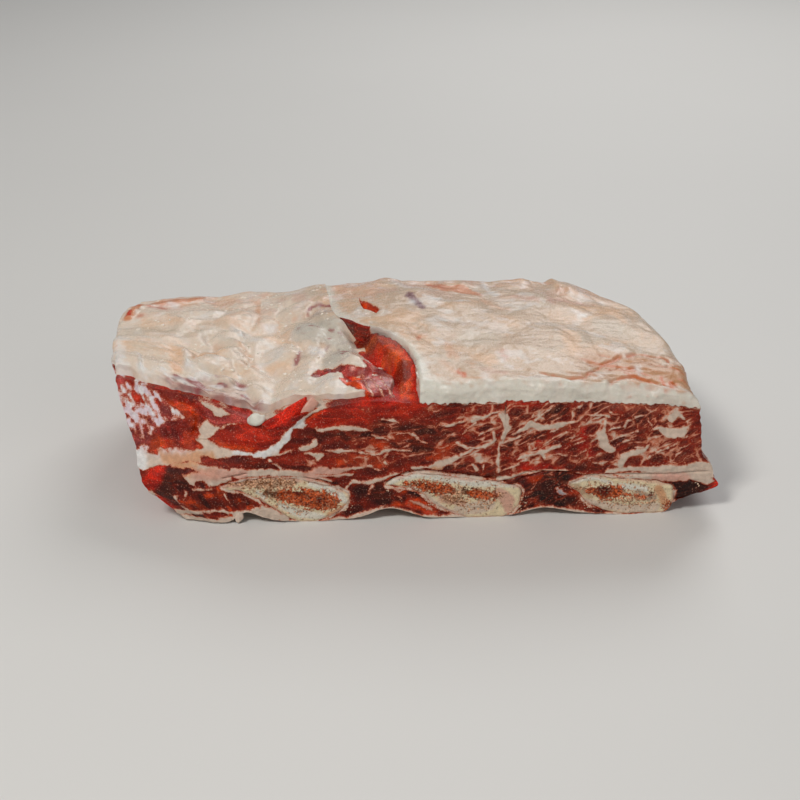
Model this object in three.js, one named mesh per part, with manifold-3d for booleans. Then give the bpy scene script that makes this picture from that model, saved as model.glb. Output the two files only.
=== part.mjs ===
// Raw beef short ribs: three ribs with their meat and fat, sawn across the bones at the front and the back.
// Millimetres. +X runs across the ribs, +Y from the sawn front face to the back, +Z up from the table.
import * as THREE from "three";
import { mergeVertices } from "three/addons/utils/BufferGeometryUtils.js";
import Module from "manifold-3d";

const wasm = await Module();
wasm.setup();

// ---- driving sizes
const rackLeft = -112;
const rackRight = 113;
const sawnFront = -76;
const sawnBack = 50;
const gap = 0.3; // left between neighbouring pieces
const boneProud = 0.4; // the saw leaves the bones standing this far out of the meat
const cutPast = 2; // the hollows for the bones are cut this far past the sawn faces
const underSheet = 2; // the fat sheets start this far down in the meat, before they are cut off along it

// Each rib's outline on the sawn face, as X and Z, clockwise from its left tip. The lowest points rest on
// the table. Its marrow has the same outline, drawn in about a line of the given slope through the point.
const ribs = [
  {
    name: "left",
    outline: [
      [-69, 16.5], [-57, 19.2], [-42, 19], [-28, 15.6], [-20, 10],
      [-26, 3.2], [-38, -0.6], [-50, 6.2], [-60, 13],
    ],
    marrow: { x: -42, z: 11, slope: -0.22, wide: 0.7, high: 0.5 },
    bow: 1.5,
  },
  {
    name: "middle",
    outline: [
      [-6, 15.6], [-1, 18.6], [9, 19.8], [24, 17.6], [45, 13.8],
      [46.5, 6.5], [41, 0.4], [28, -0.6], [15, 5.2], [5, 13],
    ],
    marrow: { x: 23, z: 10.4, slope: -0.25, wide: 0.6, high: 0.5 },
    bow: -1.2,
  },
  {
    name: "right",
    outline: [
      [65.5, 13.6], [71, 16.2], [79, 17], [92, 15], [105, 12.8],
      [107, 7.5], [104, 0.2], [88, -0.6], [75, 4.2], [70, 9.4],
    ],
    marrow: { x: 88, z: 9, slope: -0.2, wide: 0.64, high: 0.5 },
    bow: 1,
  },
];

// The two ends of the rack at the front, as height and X.
const leftEnd = [
  [0, -84], [7, -91], [12, -95.6], [18, -99], [25, -101],
  [31, -104], [37, -107.5], [46, -112], [54, -112.5],
];
const rightEnd = [
  [0, 109], [4, 111.5], [8, 117], [11.5, 124.8], [16, 122],
  [20, 121.5], [26, 117], [36, 115.2], [48, 113.3],
];
// Each side seen from above, as how far along the side and how far further out.
const leftSide = [[0, 0], [60, 3], [110, 1.5], [126, -3]];
const rightSide = [[0, 0], [50, -2], [75, -7], [95, -14], [110, -20.5], [126, -27]];
const backSide = [[-112, -9], [-98, -5], [-80, 0], [80, 0], [113, -2]];
// The front leans back at its left, by this much at the top.
const frontLean = [[-112, 34], [-104, 33], [-88, 22], [-70, 11], [-55, 3.5], [-42, 0]];

// The lines between the layers on the sawn front face, as X and height.
const ribMeatBottomLine = [
  [-112, 1], [-85, 1], [-66, 5], [-48, 1], [-20, 1], [-5, 5],
  [12, 1], [42, 1], [57, 3.8], [72, 1], [104, 1], [112, 8.5],
];
const ribMeatTopLine = [
  [-112, 24.2], [-94, 25.2], [-78, 23.6], [-66, 21.2], [-45, 19.2], [-20, 18],
  [0, 18.7], [60, 18.2], [80, 16.5], [96, 13.9], [113, 13.7],
];
const seamTopLine = [
  [-112, 32.4], [-92, 32.8], [-80, 30.8], [-70, 26.6], [-60, 23.8], [-38, 22.6],
  [0, 21.6], [38, 20.4], [57, 21.4], [76, 19.6], [98, 20.4], [113, 21.3],
];
const leanTopLine = [
  [-112, 34.2], [-90, 34.6], [-77, 36.6], [-68, 34], [-56, 30.4],
  [-46, 32.8], [-35, 40.4], [-20, 41.8], [10, 43.4], [45, 45.4],
];
const meatTopLine = [
  [-112, 46.6], [-78, 46.8], [-66, 45], [-52, 42.4], [-40, 46.6], [-16, 51.4],
  [-4, 51.2], [12, 49.4], [68, 49.3], [90, 47.3], [113, 45.8],
];

// Thicknesses of the two sheets of the fat cap, and radii of their rims.
const leftSheet = {
  thick: 4.4, thinner: 1.2, backThicker: 1.8, lump: 3,
  rimLeft: 2.6, rimFront: 1.4, rimBack: 3,
};
const rightSheet = {
  thick: 8.2, thinnest: 1.4, lump: 3,
  rimValley: 4.5, rimRight: 5.5, rimFront: 1.2, rimBack: 6,
};
const valleyWidth = 6.5;

// ---- how finely the pieces are made
const ribOutlinePoints = 28; // sides of a rib's outline
const ribSteps = 5; // along a rib
const layerColumns = 28; // across the rack
const layerRows = 10; // from front to back
const upperColumns = 18; // of the layer columns, those that the upper muscle has
const sheetSides = 14; // of the fat sheets, each way

// ---- helpers
const { lerp, clamp } = THREE.MathUtils;
const smooth = (from, to, x) => THREE.MathUtils.smoothstep(x, from, to);
const hump = (x, middle, halfWidth) => Math.exp(-(((x - middle) / halfWidth) ** 2));
const depth = sawnBack - sawnFront;
const across = (s) => lerp(rackLeft, rackRight, s);
const acrossBack = (x) => (x - rackLeft) / (rackRight - rackLeft);

// A smooth line through points, level beyond both ends.
function lineThrough(points) {
  const slope = (i) => {
    const [x0, y0] = points[Math.max(i - 1, 0)];
    const [x1, y1] = points[Math.min(i + 1, points.length - 1)];
    return (y1 - y0) / (x1 - x0);
  };
  return (x) => {
    const inside = clamp(x, points[0][0], points.at(-1)[0]);
    const i = clamp(points.findIndex((p) => p[0] > inside) - 1, 0, points.length - 2);
    const last = inside === points.at(-1)[0] ? points.length - 2 : i;
    const [[x0, y0], [x1, y1]] = [points[last], points[last + 1]];
    const u = (inside - x0) / (x1 - x0);
    const bend = (x1 - x0) * u * (1 - u);
    return lerp(y0, y1, u * u * (3 - 2 * u)) + bend * ((1 - u) * slope(last) - u * slope(last + 1));
  };
}

// Slow unevenness from -1 to 1, with lumps about three sizes apart.
function wave(x, y, size, seed) {
  const lumps = Math.sin(x / size + seed) * Math.cos((y / size) * 1.3 - seed * 2.1);
  const ripple = Math.sin(((x * 0.8 + y) / size) * 2.1 + seed * 3.7);
  return (lumps + 0.5 * ripple) / 1.5;
}

// ---- the rack's outline
// A place in the rack is given by s, 0 at the left end and 1 at the right, t, 0 at the front and 1 at the
// back, and a height z. These say how much further out than a plain block each side stands there.
const leftEndX = lineThrough(leftEnd);
const rightEndX = lineThrough(rightEnd);
const leftSideOut = lineThrough(leftSide);
const rightSideOut = lineThrough(rightSide);
const backSideOut = lineThrough(backSide);
const leanAt = lineThrough(frontLean);

function leftOut(t, z) {
  const atFront = (rackLeft - leftEndX(z)) * (1 - 0.3 * t);
  return atFront + leftSideOut(t * depth) * smooth(20, 50, z) + 1.2 * wave(t * depth, z, 9, 1.3);
}
function rightOut(t, z) {
  const atFront = (rightEndX(z) - rackRight) * (1 - 0.5 * t);
  const further = rightSideOut(t * depth) * (0.2 + 0.8 * smooth(10, 45, z));
  return atFront + further + wave(t * depth, z, 8, 4.1);
}
function frontIn(s, z) {
  const corner = 3 * (1 - smooth(0, 0.06, s));
  return leanAt(across(s)) * smooth(20, 50, z) + corner + 0.7 * wave(across(s), z, 7, 2.2);
}
function backOut(s, z) {
  return backSideOut(across(s)) - 0.06 * z + 1.4 * wave(across(s), z, 9, 5.3);
}
function place(s, t, z) {
  const x = across(s) - leftOut(t, z) * (1 - smooth(0, 0.3, s)) + rightOut(t, z) * smooth(0.75, 1, s);
  const inAndOut = frontIn(s, z) * (1 - smooth(0, 0.62, t)) + backOut(s, z) * smooth(0.6, 1, t);
  return new THREE.Vector3(x, lerp(sawnFront, sawnBack, t) + inAndOut, z);
}

// ---- heights of the faces between the layers
// Each follows its line at the front and evens out towards the back.
function face(line, waver, seed) {
  const atFront = lineThrough(line);
  return (x, t) => {
    const evened = (atFront(x - 25) + atFront(x) + atFront(x + 25)) / 3;
    return lerp(atFront(x), evened, smooth(0, 1, t)) + waver * wave(x, t * depth, 11, seed);
  };
}
const ribMeatBottom = face(ribMeatBottomLine, 0.4, 0.7);
const ribMeatTop = face(ribMeatTopLine, 0.5, 3.1);
const seamTop = face(seamTopLine, 0.5, 3.1);
const lineOfMeatTop = face(meatTopLine, 0.6, 1.9);
const lineOfLeanTop = face(leanTopLine, 0.5, 2.4);
function meatTop(x, t) {
  return lineOfMeatTop(x, t) + 1.6 * Math.sin(Math.PI * Math.min(t / 0.8, 1)) - 3 * smooth(0.72, 1, t);
}
function leanTop(x, t) {
  const upperThinnest = 1;
  const underUpper = Math.min(lineOfLeanTop(x + 18 * t, t), meatTop(x, t) - upperThinnest);
  return x < upperEnd + 1 ? underUpper : meatTop(x, t);
}

// The fat cap has a left and a right sheet, pulled apart along a valley that closes towards the back.
function rightSheetEdge(t) {
  return 6 - 30 * t ** 2.4;
}
function leftSheetEdge(t) {
  return rightSheetEdge(t) - gap - valleyWidth * (1 - smooth(0.35, 0.75, t)) - 3 * hump(t, 0.87, 0.05);
}
function leftSheetFront(s) {
  return 0.015 + 0.045 * hump(across(s), -46, 24);
}

// How far a rounded rim of radius r has dropped at a distance d in from the edge.
function rim(d, r) {
  const inside = clamp(r - d, 0, r);
  return r - Math.sqrt(r * r - inside * inside);
}
function leftSheetTop(x, t) {
  const { thick, thinner, backThicker, lump, rimLeft, rimFront, rimBack } = leftSheet;
  const towardsBack = (backThicker + lump * hump(x, -22, 18)) * smooth(0.3, 0.9, t);
  const thickness = thick - thinner * smooth(-60, -20, x) + towardsBack;
  const endRims = rim((1 - t) * depth, rimBack) + rim((t - 0.02) * depth, rimFront);
  const uneven = 0.8 * wave(x, t * depth, 10, 6.2);
  return meatTop(x, t) + thickness + uneven - rim(x - rackLeft, rimLeft) - endRims;
}
function rightSheetTop(x, t) {
  const { thick, lump, rimValley, rimRight, rimFront, rimBack, thinnest } = rightSheet;
  const corner = lump * hump(x, 90, 12) * smooth(0.6, 0.95, t);
  const lumps = corner + 0.7 * hump(x, 8, 14) + 0.4 * wave(x, t * depth, 13, 2.7);
  const sideRims = rim(x - rightSheetEdge(t), rimValley) + rim(rackRight - x, rimRight);
  const rims = sideRims + rim((1 - t) * depth, rimBack) + rim(t * depth, rimFront);
  return meatTop(x, t) + Math.max(thick + lumps - rims, thinnest);
}

// ---- solids
// Grid lines drawn together towards both ends, where the rims are.
const drawnIn = (u) => u - (0.4 * Math.sin(2 * Math.PI * u)) / (2 * Math.PI);

// A closed block of the rack. corner(u, v) gives the s and t of a place on its grid, and bottom and top
// its heights.
function block({ columns, rows, tiers, corner, bottom, top }) {
  const box = new THREE.BoxGeometry(1, 1, 1, columns, rows, tiers);
  const at = box.getAttribute("position");
  for (let i = 0; i < at.count; i++) {
    const [s, t] = corner(at.getX(i) + 0.5, at.getY(i) + 0.5);
    const z = lerp(bottom(across(s), t), top(across(s), t), at.getZ(i) + 0.5);
    const p = place(s, t, z);
    at.setXYZ(i, p.x, p.y, p.z);
  }
  // The squares of the underside are split as those of the top are, so that two blocks fit face to face.
  const corners = box.index.array;
  const underside = box.groups.at(-1);
  for (let i = underside.start; i < underside.start + underside.count; i += 6) {
    const [a, b, d, , c] = corners.slice(i, i + 6);
    corners.set([a, b, c, a, c, d], i);
  }
  return box;
}
// A layer of the meat, on the first columns of the grid that all layers share, so that their faces match.
function layer(columns, tiers, bottom, top) {
  const corner = (u, v) => [drawnIn((u * columns) / layerColumns), drawnIn(v)];
  return block({ columns, rows: layerRows, tiers, corner, bottom, top });
}

const raised = (height) => (x, t) => height(x, t) + gap / 2;
const lowered = (height) => (x, t) => height(x, t) - gap / 2;
const under = (x, t) => meatTop(x, t) - underSheet;
const upperEnd = across(drawnIn(upperColumns / layerColumns)); // the upper muscle runs out here

function toSolid(geometry) {
  const bare = geometry.clone();
  bare.deleteAttribute("normal");
  bare.deleteAttribute("uv");
  const merged = mergeVertices(bare, 1e-4);
  return new wasm.Manifold(
    new wasm.Mesh({
      numProp: 3,
      vertProperties: new Float32Array(merged.getAttribute("position").array),
      triVerts: new Uint32Array(merged.index.array),
    }),
  );
}
function toGeometry(solid) {
  const mesh = solid.getMesh();
  return new THREE.BufferGeometry()
    .setAttribute("position", new THREE.BufferAttribute(new Float32Array(mesh.vertProperties), 3))
    .setIndex(new THREE.BufferAttribute(new Uint32Array(mesh.triVerts), 1));
}
// A cut can leave loose scraps beside the piece. They are dropped.
function largest(solid) {
  return solid.decompose().sort((a, b) => b.volume() - a.volume())[0];
}

// Pushes a clockwise outline outwards.
function grown(points, by) {
  return points.map((p, i) => {
    const along = points[(i + 1) % points.length].clone().sub(points.at(i - 1)).normalize();
    return new THREE.Vector2(p.x - along.y * by, p.y + along.x * by);
  });
}
// A rib's outline as points, flat where it stands on the table.
function ribOutline(rib) {
  const corners = rib.outline.map(([x, z]) => new THREE.Vector3(x, z, 0));
  const curve = new THREE.CatmullRomCurve3(corners, true, "catmullrom", 0.5);
  return Array.from({ length: ribOutlinePoints }, (_, i) => {
    const p = curve.getPoint(i / ribOutlinePoints);
    return new THREE.Vector2(p.x, Math.max(p.y, 0));
  });
}
function marrowOutline(rib) {
  const { x, z, slope, wide, high } = rib.marrow;
  return ribOutline(rib).map((p) => {
    const right = (p.x - x) * wide;
    const up = (p.y - z - slope * (p.x - x)) * high;
    return new THREE.Vector2(x + right, z + slope * right + up);
  });
}
// Runs an outline from the front of the rack to the back, bowed sideways as a rib is, and a little past both.
function alongRib(rib, outline, hole, past) {
  const shape = new THREE.Shape(outline);
  if (hole) shape.holes.push(new THREE.Path([...hole].reverse()));
  const geometry = new THREE.ExtrudeGeometry(shape, { depth: 1, steps: ribSteps, bevelEnabled: false });
  geometry.rotateX(Math.PI / 2);
  geometry.translate(0, 1, 0);
  const at = geometry.getAttribute("position");
  for (let i = 0; i < at.count; i++) {
    const t = at.getY(i);
    const end = Math.round(2 * t - 1) * (t < 0.01 || t > 0.99 ? past : 0);
    at.setX(i, at.getX(i) + rib.bow * Math.sin(Math.PI * t));
    at.setY(i, lerp(sawnFront, sawnBack, t) + end);
  }
  return geometry;
}

const ribTool = ribs
  .map((rib) => toSolid(alongRib(rib, grown(ribOutline(rib), gap), null, cutPast)))
  .reduce((joined, next) => joined.add(next));

// ---- materials
function material(colour, roughness) {
  return new THREE.MeshStandardMaterial({ color: colour, roughness, metalness: 0 });
}
const boneMaterial = material(0xd9c7a3, 0.55);
const marrowMaterial = material(0x9a4a28, 0.6);
const fatMaterial = material(0xe2cdb6, 0.4);
const leanMaterial = material(0x8e2a1c, 0.35);
const ribMeatMaterial = material(0x5c1a12, 0.35);

const rack = new THREE.Group();
const meat = new THREE.Group();
rack.add(meat);
function add(name, geometry, finish) {
  const mesh = new THREE.Mesh(geometry, finish);
  mesh.name = name;
  meat.add(mesh);
}

function addRibs() {
  for (const rib of ribs) {
    const marrow = marrowOutline(rib);
    const bone = alongRib(rib, ribOutline(rib), grown(marrow, gap), boneProud);
    add(`rib_${rib.name}`, bone, boneMaterial);
    add(`marrow_${rib.name}`, alongRib(rib, marrow, null, boneProud - 0.2), marrowMaterial);
  }
}

// The meat beside and between the ribs: a strip beyond each outer rib and one in each space.
function addRibMeat() {
  let whole = toSolid(layer(layerColumns, 2, ribMeatBottom, lowered(ribMeatTop))).subtract(ribTool);
  for (const rib of ribs) {
    const cut = new THREE.BoxGeometry(gap, 2 * depth, 2 * depth);
    cut.translate(rib.marrow.x, 0, 0);
    whole = whole.subtract(toSolid(cut));
  }
  const leftmost = (strip) => strip.boundingBox().min[0];
  const strips = whole.decompose().sort((a, b) => b.volume() - a.volume());
  strips.length = ribs.length + 1;
  strips.sort((a, b) => leftmost(a) - leftmost(b));
  strips.forEach((strip, i) => add(`rib_meat_${i + 1}`, toGeometry(strip), ribMeatMaterial));
}

function addSeamFat() {
  const seam = toSolid(layer(layerColumns, 1, raised(ribMeatTop), lowered(seamTop)));
  add("seam_fat", toGeometry(largest(seam.subtract(ribTool))), fatMaterial);
}

function addMuscles() {
  add("lean_meat", layer(layerColumns, 3, raised(seamTop), lowered(leanTop)), leanMaterial);
  add("upper_muscle", layer(upperColumns, 2, raised(leanTop), lowered(meatTop)), leanMaterial);
}

function addFatCap() {
  // The meat that the sheets are cut off along, a column and a row larger on every side.
  const wider = (u, count) => drawnIn((u * (count + 2) - 1) / count);
  const muscles = toSolid(
    block({
      columns: layerColumns + 2,
      rows: layerRows + 2,
      tiers: 1,
      corner: (u, v) => [wider(u, layerColumns), wider(v, layerRows)],
      bottom: (x, t) => under(x, t) - 1,
      top: raised(meatTop),
    }),
  );
  const rightOf = (edge) => (u, v) => {
    const t = drawnIn(v);
    return [lerp(acrossBack(edge(t)), 1, drawnIn(u)), t];
  };
  const grid = { columns: sheetSides, rows: sheetSides, tiers: 1 };
  const right = toSolid(
    block({ ...grid, tiers: 2, corner: rightOf(rightSheetEdge), bottom: under, top: rightSheetTop }),
  );
  const pastValley = toSolid(
    block({ ...grid, corner: rightOf((t) => rightSheetEdge(t) - gap), bottom: () => 0, top: () => 90 }),
  );
  const left = toSolid(
    block({
      ...grid,
      corner: (u, v) => {
        const s = drawnIn(u) * acrossBack(0);
        const t = lerp(leftSheetFront(s), 1, drawnIn(v));
        return [(s / acrossBack(0)) * acrossBack(leftSheetEdge(t)), t];
      },
      bottom: under,
      top: leftSheetTop,
    }),
  );
  add("fat_cap_left", toGeometry(largest(left.subtract(muscles).subtract(pastValley))), fatMaterial);
  add("fat_cap_right", toGeometry(largest(right.subtract(muscles))), fatMaterial);
}

addRibs();
addRibMeat();
addSeamFat();
addMuscles();
addFatCap();

// The origin is on the table, under the middle of the rack's box.
const box = new THREE.Box3().setFromObject(rack);
const middle = box.getCenter(new THREE.Vector3());
meat.position.set(-middle.x, -middle.y, -box.min.z);

export default rack;
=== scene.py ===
import math
from types import SimpleNamespace

import bpy
import numpy as np
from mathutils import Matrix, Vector


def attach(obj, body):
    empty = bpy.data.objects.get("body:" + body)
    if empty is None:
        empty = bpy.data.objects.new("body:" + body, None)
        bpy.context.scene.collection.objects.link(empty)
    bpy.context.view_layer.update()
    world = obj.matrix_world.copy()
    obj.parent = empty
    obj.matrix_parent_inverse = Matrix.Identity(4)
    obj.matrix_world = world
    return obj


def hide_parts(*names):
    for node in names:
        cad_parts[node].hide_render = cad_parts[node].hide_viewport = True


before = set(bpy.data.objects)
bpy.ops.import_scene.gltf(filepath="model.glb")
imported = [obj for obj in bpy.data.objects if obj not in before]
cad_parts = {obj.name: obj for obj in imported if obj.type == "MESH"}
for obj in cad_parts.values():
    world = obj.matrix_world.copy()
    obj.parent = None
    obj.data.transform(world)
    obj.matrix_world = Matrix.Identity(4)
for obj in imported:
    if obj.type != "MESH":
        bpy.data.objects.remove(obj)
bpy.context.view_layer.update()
print("frame loaded")

# Lengths are in millimetres, in the frame that the rack was drawn in, until a mesh is made.
rackMiddle = (3.99, -12.62)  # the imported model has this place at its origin
rack = {"left": -112, "right": 113, "front": -76, "back": 50}
depth = rack["back"] - rack["front"]

view = {"azimuth": -3, "elevation": 25, "lens": 70, "away": 0.6, "target": (-0.00399, -0.05338, 0.047)}


def makeCamera():
    turn, rise = math.radians(view["azimuth"]), math.radians(view["elevation"])
    away = Vector((math.cos(rise) * math.sin(turn), -math.cos(rise) * math.cos(turn), math.sin(rise)))
    camera = bpy.data.objects.new("camera", bpy.data.cameras.new("camera"))
    camera.data.lens = view["lens"]
    camera.location = Vector(view["target"]) + view["away"] * away
    camera.rotation_euler = (-away).to_track_quat("-Z", "Y").to_euler()
    bpy.context.collection.objects.link(camera)
    bpy.context.scene.camera = camera


makeCamera()


# Small tools.
farOutside = -99.0  # mm


def smooth(start, end, x):
    u = np.clip((x - start) / (end - start), 0, 1)
    return u * u * (3 - 2 * u)


def mix(a, b, u):
    return a + (b - a) * u


def hump(x, middle, halfWidth):
    return np.exp(-(((x - middle) / halfWidth) ** 2))


def lineThrough(*points):  # a smooth line, level beyond both ends
    px, py = np.array(points, float).T
    before = np.r_[px[0], px[:-1]], np.r_[py[0], py[:-1]]
    after = np.r_[px[1:], px[-1]], np.r_[py[1:], py[-1]]
    slope = (after[1] - before[1]) / (after[0] - before[0])

    def at(x):
        inside = np.clip(x, px[0], px[-1])
        i = np.clip(np.searchsorted(px, inside, side="right") - 1, 0, len(px) - 2)
        run = px[i + 1] - px[i]
        u = (inside - px[i]) / run
        bend = run * u * (1 - u)
        return mix(py[i], py[i + 1], u * u * (3 - 2 * u)) + bend * ((1 - u) * slope[i] - u * slope[i + 1])

    return at


def wave(x, y, size, seed):
    lumps = np.sin(x / size + seed) * np.cos(y / size * 1.3 - seed * 2.1)
    ripple = np.sin((x * 0.8 + y) / size * 2.1 + seed * 3.7)
    return (lumps + 0.5 * ripple) / 1.5


def lumpy(points, size, seed=0):  # smooth random lumps from -1 to 1, about this size
    cell = points / size + 57.31 + 11.7 * seed
    low = np.floor(cell).astype(np.int64)
    part = cell - low
    part = part * part * (3 - 2 * part)
    total = np.zeros(len(points))
    for corner in np.ndindex(2, 2, 2):
        key = low + corner
        mixed = key[:, 0] * 73856093 ^ key[:, 1] * 19349663 ^ key[:, 2] * 83492791 ^ (seed + 3) * 9176213
        mixed = (mixed ^ (mixed >> 13)) * 1274126177 & 0x7FFFFFFF
        mixed = ((mixed ^ (mixed >> 15)) * 668265263 >> 7) & 0x7FFFFFFF
        share = np.prod(np.where(corner, part, 1 - part), axis=1)
        total += share * (mixed / 2**30 - 1)
    return total


def lobed(x, y, size, seed):  # round lobes side by side: 0 in the creases between them, about 1 on top
    u, v = x / size, y / size
    first, second = np.full(len(x), 9.0), np.full(len(x), 9.0)
    for dx in (-1, 0, 1):
        for dy in (-1, 0, 1):
            i, j = np.floor(u) + dx, np.floor(v) + dy
            jitterX = np.sin(i * 127.1 + j * 311.7 + seed) * 43758.5 % 1
            jitterY = np.sin(i * 269.5 + j * 183.3 + seed) * 24634.6 % 1
            away = np.hypot(i + jitterX - u, j + jitterY - v)
            second = np.minimum(second, np.maximum(first, away))
            first = np.minimum(first, away)
    return smooth(-0.1, 0.7, second - first)


# How far a place is inside a drawn streak, whose points are x, y and half width. Negative outside.
def inStreak(x, y, streak, reach=6):
    inside = np.full(len(x), farOutside)
    xs, ys, rs = zip(*streak)
    wide = max(rs) + reach
    near = (x > min(xs) - wide) & (x < max(xs) + wide) & (y > min(ys) - wide) & (y < max(ys) + wide)
    px, py = x[near], y[near]
    best = np.full(len(px), farOutside)
    legs = list(zip(streak[:-1], streak[1:])) or [(streak[0], streak[0])]
    for (x0, y0, r0), (x1, y1, r1) in legs:
        dx, dy = x1 - x0, y1 - y0
        k = np.clip(((px - x0) * dx + (py - y0) * dy) / (dx * dx + dy * dy + 1e-9), 0, 1)
        away = np.hypot(px - x0 - k * dx, py - y0 - k * dy)
        best = np.maximum(best, r0 + (r1 - r0) * k - away)
    inside[near] = best
    return inside


# The same for a closed outline.
def inPatch(x, y, outline):
    inside = np.zeros(len(x), bool)
    away = np.full(len(x), -farOutside)
    for (x0, y0), (x1, y1) in zip(outline, outline[1:] + outline[:1]):
        dx, dy = x1 - x0, y1 - y0
        k = np.clip(((x - x0) * dx + (y - y0) * dy) / (dx * dx + dy * dy + 1e-9), 0, 1)
        away = np.minimum(away, np.hypot(x - x0 - k * dx, y - y0 - k * dy))
        crosses = (y0 > y) != (y1 > y)
        inside ^= crosses & (x < x0 + (y - y0) * dx / (dy if dy else 1e-9))
    return np.where(inside, away, -away)


def linear(colour):  # from the 0-255 values that a picture editor shows
    c = np.array(colour, float) / 255
    return np.where(c <= 0.04045, c / 12.92, ((c + 0.055) / 1.055) ** 2.4)


# The rack's shape: s runs from its left end to its right, t from front to back, z up
leftEndX = lineThrough((0, -84), (7, -91), (12, -95.6), (18, -99), (25, -101), (31, -104), (37, -107.5),
                       (46, -112),
                       (54, -112.5))
rightEndX = lineThrough((0, 109), (4, 111.5), (8, 117), (11.5, 124.8), (16, 122), (20, 121.5),
                        (26, 117), (36, 115.2),
                        (48, 113.3))
leftSideOut = lineThrough((0, 0), (60, 3), (110, 1.5), (126, -3))
rightSideOut = lineThrough((0, 0), (50, -2), (75, -7), (95, -14), (110, -20.5), (126, -27))
backSideOut = lineThrough((-112, -9), (-98, -5), (-80, 0), (80, 0), (113, -2))
frontLean = lineThrough((-112, 34), (-104, 33), (-88, 22), (-70, 11), (-55, 3.5), (-42, 0))


def across(s):
    return mix(rack["left"], rack["right"], s)


def acrossBack(x):
    return (x - rack["left"]) / (rack["right"] - rack["left"])


def place(s, t, z):
    x = across(s)
    leftOut = (rack["left"] - leftEndX(z)) * (1 - 0.3 * t) + leftSideOut(t * depth) * smooth(20, 50, z)
    leftOut = leftOut + 1.2 * wave(t * depth, z, 9, 1.3)
    rightOut = (rightEndX(z) - rack["right"]) * (1 - 0.5 * t) + wave(t * depth, z, 8, 4.1)
    rightOut = rightOut + rightSideOut(t * depth) * (0.2 + 0.8 * smooth(10, 45, z))
    frontIn = frontLean(x) * smooth(20, 50, z) + 3 * (1 - smooth(0, 0.06, s)) + 0.7 * wave(x, z, 7, 2.2)
    backOut = backSideOut(x) - 0.06 * z + 1.4 * wave(x, z, 9, 5.3)
    px = x - leftOut * (1 - smooth(0, 0.3, s)) + rightOut * smooth(0.75, 1, s)
    py = mix(rack["front"], rack["back"], t)
    py = py + frontIn * (1 - smooth(0, 0.62, t)) + backOut * smooth(0.6, 1, t)
    return np.stack([px, py, z], -1)


def face(line, waver, seed):  # a face between two layers: its line at the front, evened out towards the back
    def at(x, t):
        evened = (line(x - 25) + line(x) + line(x + 25)) / 3
        return mix(line(x), evened, smooth(0, 1, t)) + waver * wave(x, t * depth, 11, seed)

    return at


ribMeatBottom = face(lineThrough((-112, 1), (-85, 1), (-66, 5), (-48, 1), (-20, 1), (-5, 5), (12, 1), (42, 1),
                                 (57, 3.8), (72, 1), (104, 1), (112, 8.5)), 0.4, 0.7)
ribMeatTop = face(lineThrough((-112, 24.2), (-94, 25.2), (-78, 23.6), (-66, 21.2), (-45, 19.2),
                              (-20, 18), (0, 18.7),
                              (60, 18.2), (80, 16.5), (96, 13.9), (113, 13.7)), 0.5, 3.1)
seamTop = face(lineThrough((-112, 32.4), (-92, 32.8), (-80, 30.8), (-70, 26.6), (-60, 23.8),
                           (-38, 22.6), (0, 21.6),
                           (38, 20.4), (57, 21.4), (76, 19.6), (98, 20.4), (113, 21.3)), 0.5, 3.1)
flatMeatTop = face(lineThrough((-112, 46.6), (-78, 46.8), (-66, 45), (-52, 42.4), (-40, 46.6), (-16, 51.4),
                               (-4, 51.2), (12, 49.4), (68, 49.3), (90, 47.3), (113, 45.8)), 0.6, 1.9)
underUpper = face(lineThrough((-112, 34.2), (-90, 34.6), (-77, 36.6), (-68, 34), (-56, 30.4), (-46, 32.8),
                              (-35, 40.4), (-20, 41.8), (10, 43.4), (45, 45.4)), 0.5, 2.4)
upperEnd = 39.9  # the upper muscle runs out here


def meatTop(x, t):
    return flatMeatTop(x, t) + 1.6 * np.sin(np.pi * np.minimum(t / 0.8, 1)) - 3 * smooth(0.72, 1, t)


def leanTop(x, t):
    return np.where(x < upperEnd, np.minimum(underUpper(x + 18 * t, t), meatTop(x, t) - 1), meatTop(x, t))


# How the cut meat and fat look: lengths in mm, colours 0-255, tints as factors.
cutLook = {
    "ragged": 0.55, "fine": 0.5,  # how far fat and lean run into each other
    "bundleHigh": 3.6, "warp": 0.8,  # height of a bundle of the lean, and how far bundles bend
    "uneven": 1.5,  # how much the fat between the bundles varies
    "strands": 2.3, "strandShare": 0.3,  # finer threads to a bundle, and how white they are
    "shell": (1.45, 1.2, 0.9, 1), "heart": (0.74, 0.5, 0.4, 1),  # bundles are darker in the middle
    "rawEdge": (146, 36, 10), "thinFat": (196, 112, 80), "glint": (236, 176, 150),
    "leanGloss": 0.2, "fatGloss": 0.24, "bump": 0.0004,
}
wetIor = 1.45
sharpFrom = math.radians(50)  # edges that turn more than this stay sharp

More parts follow.
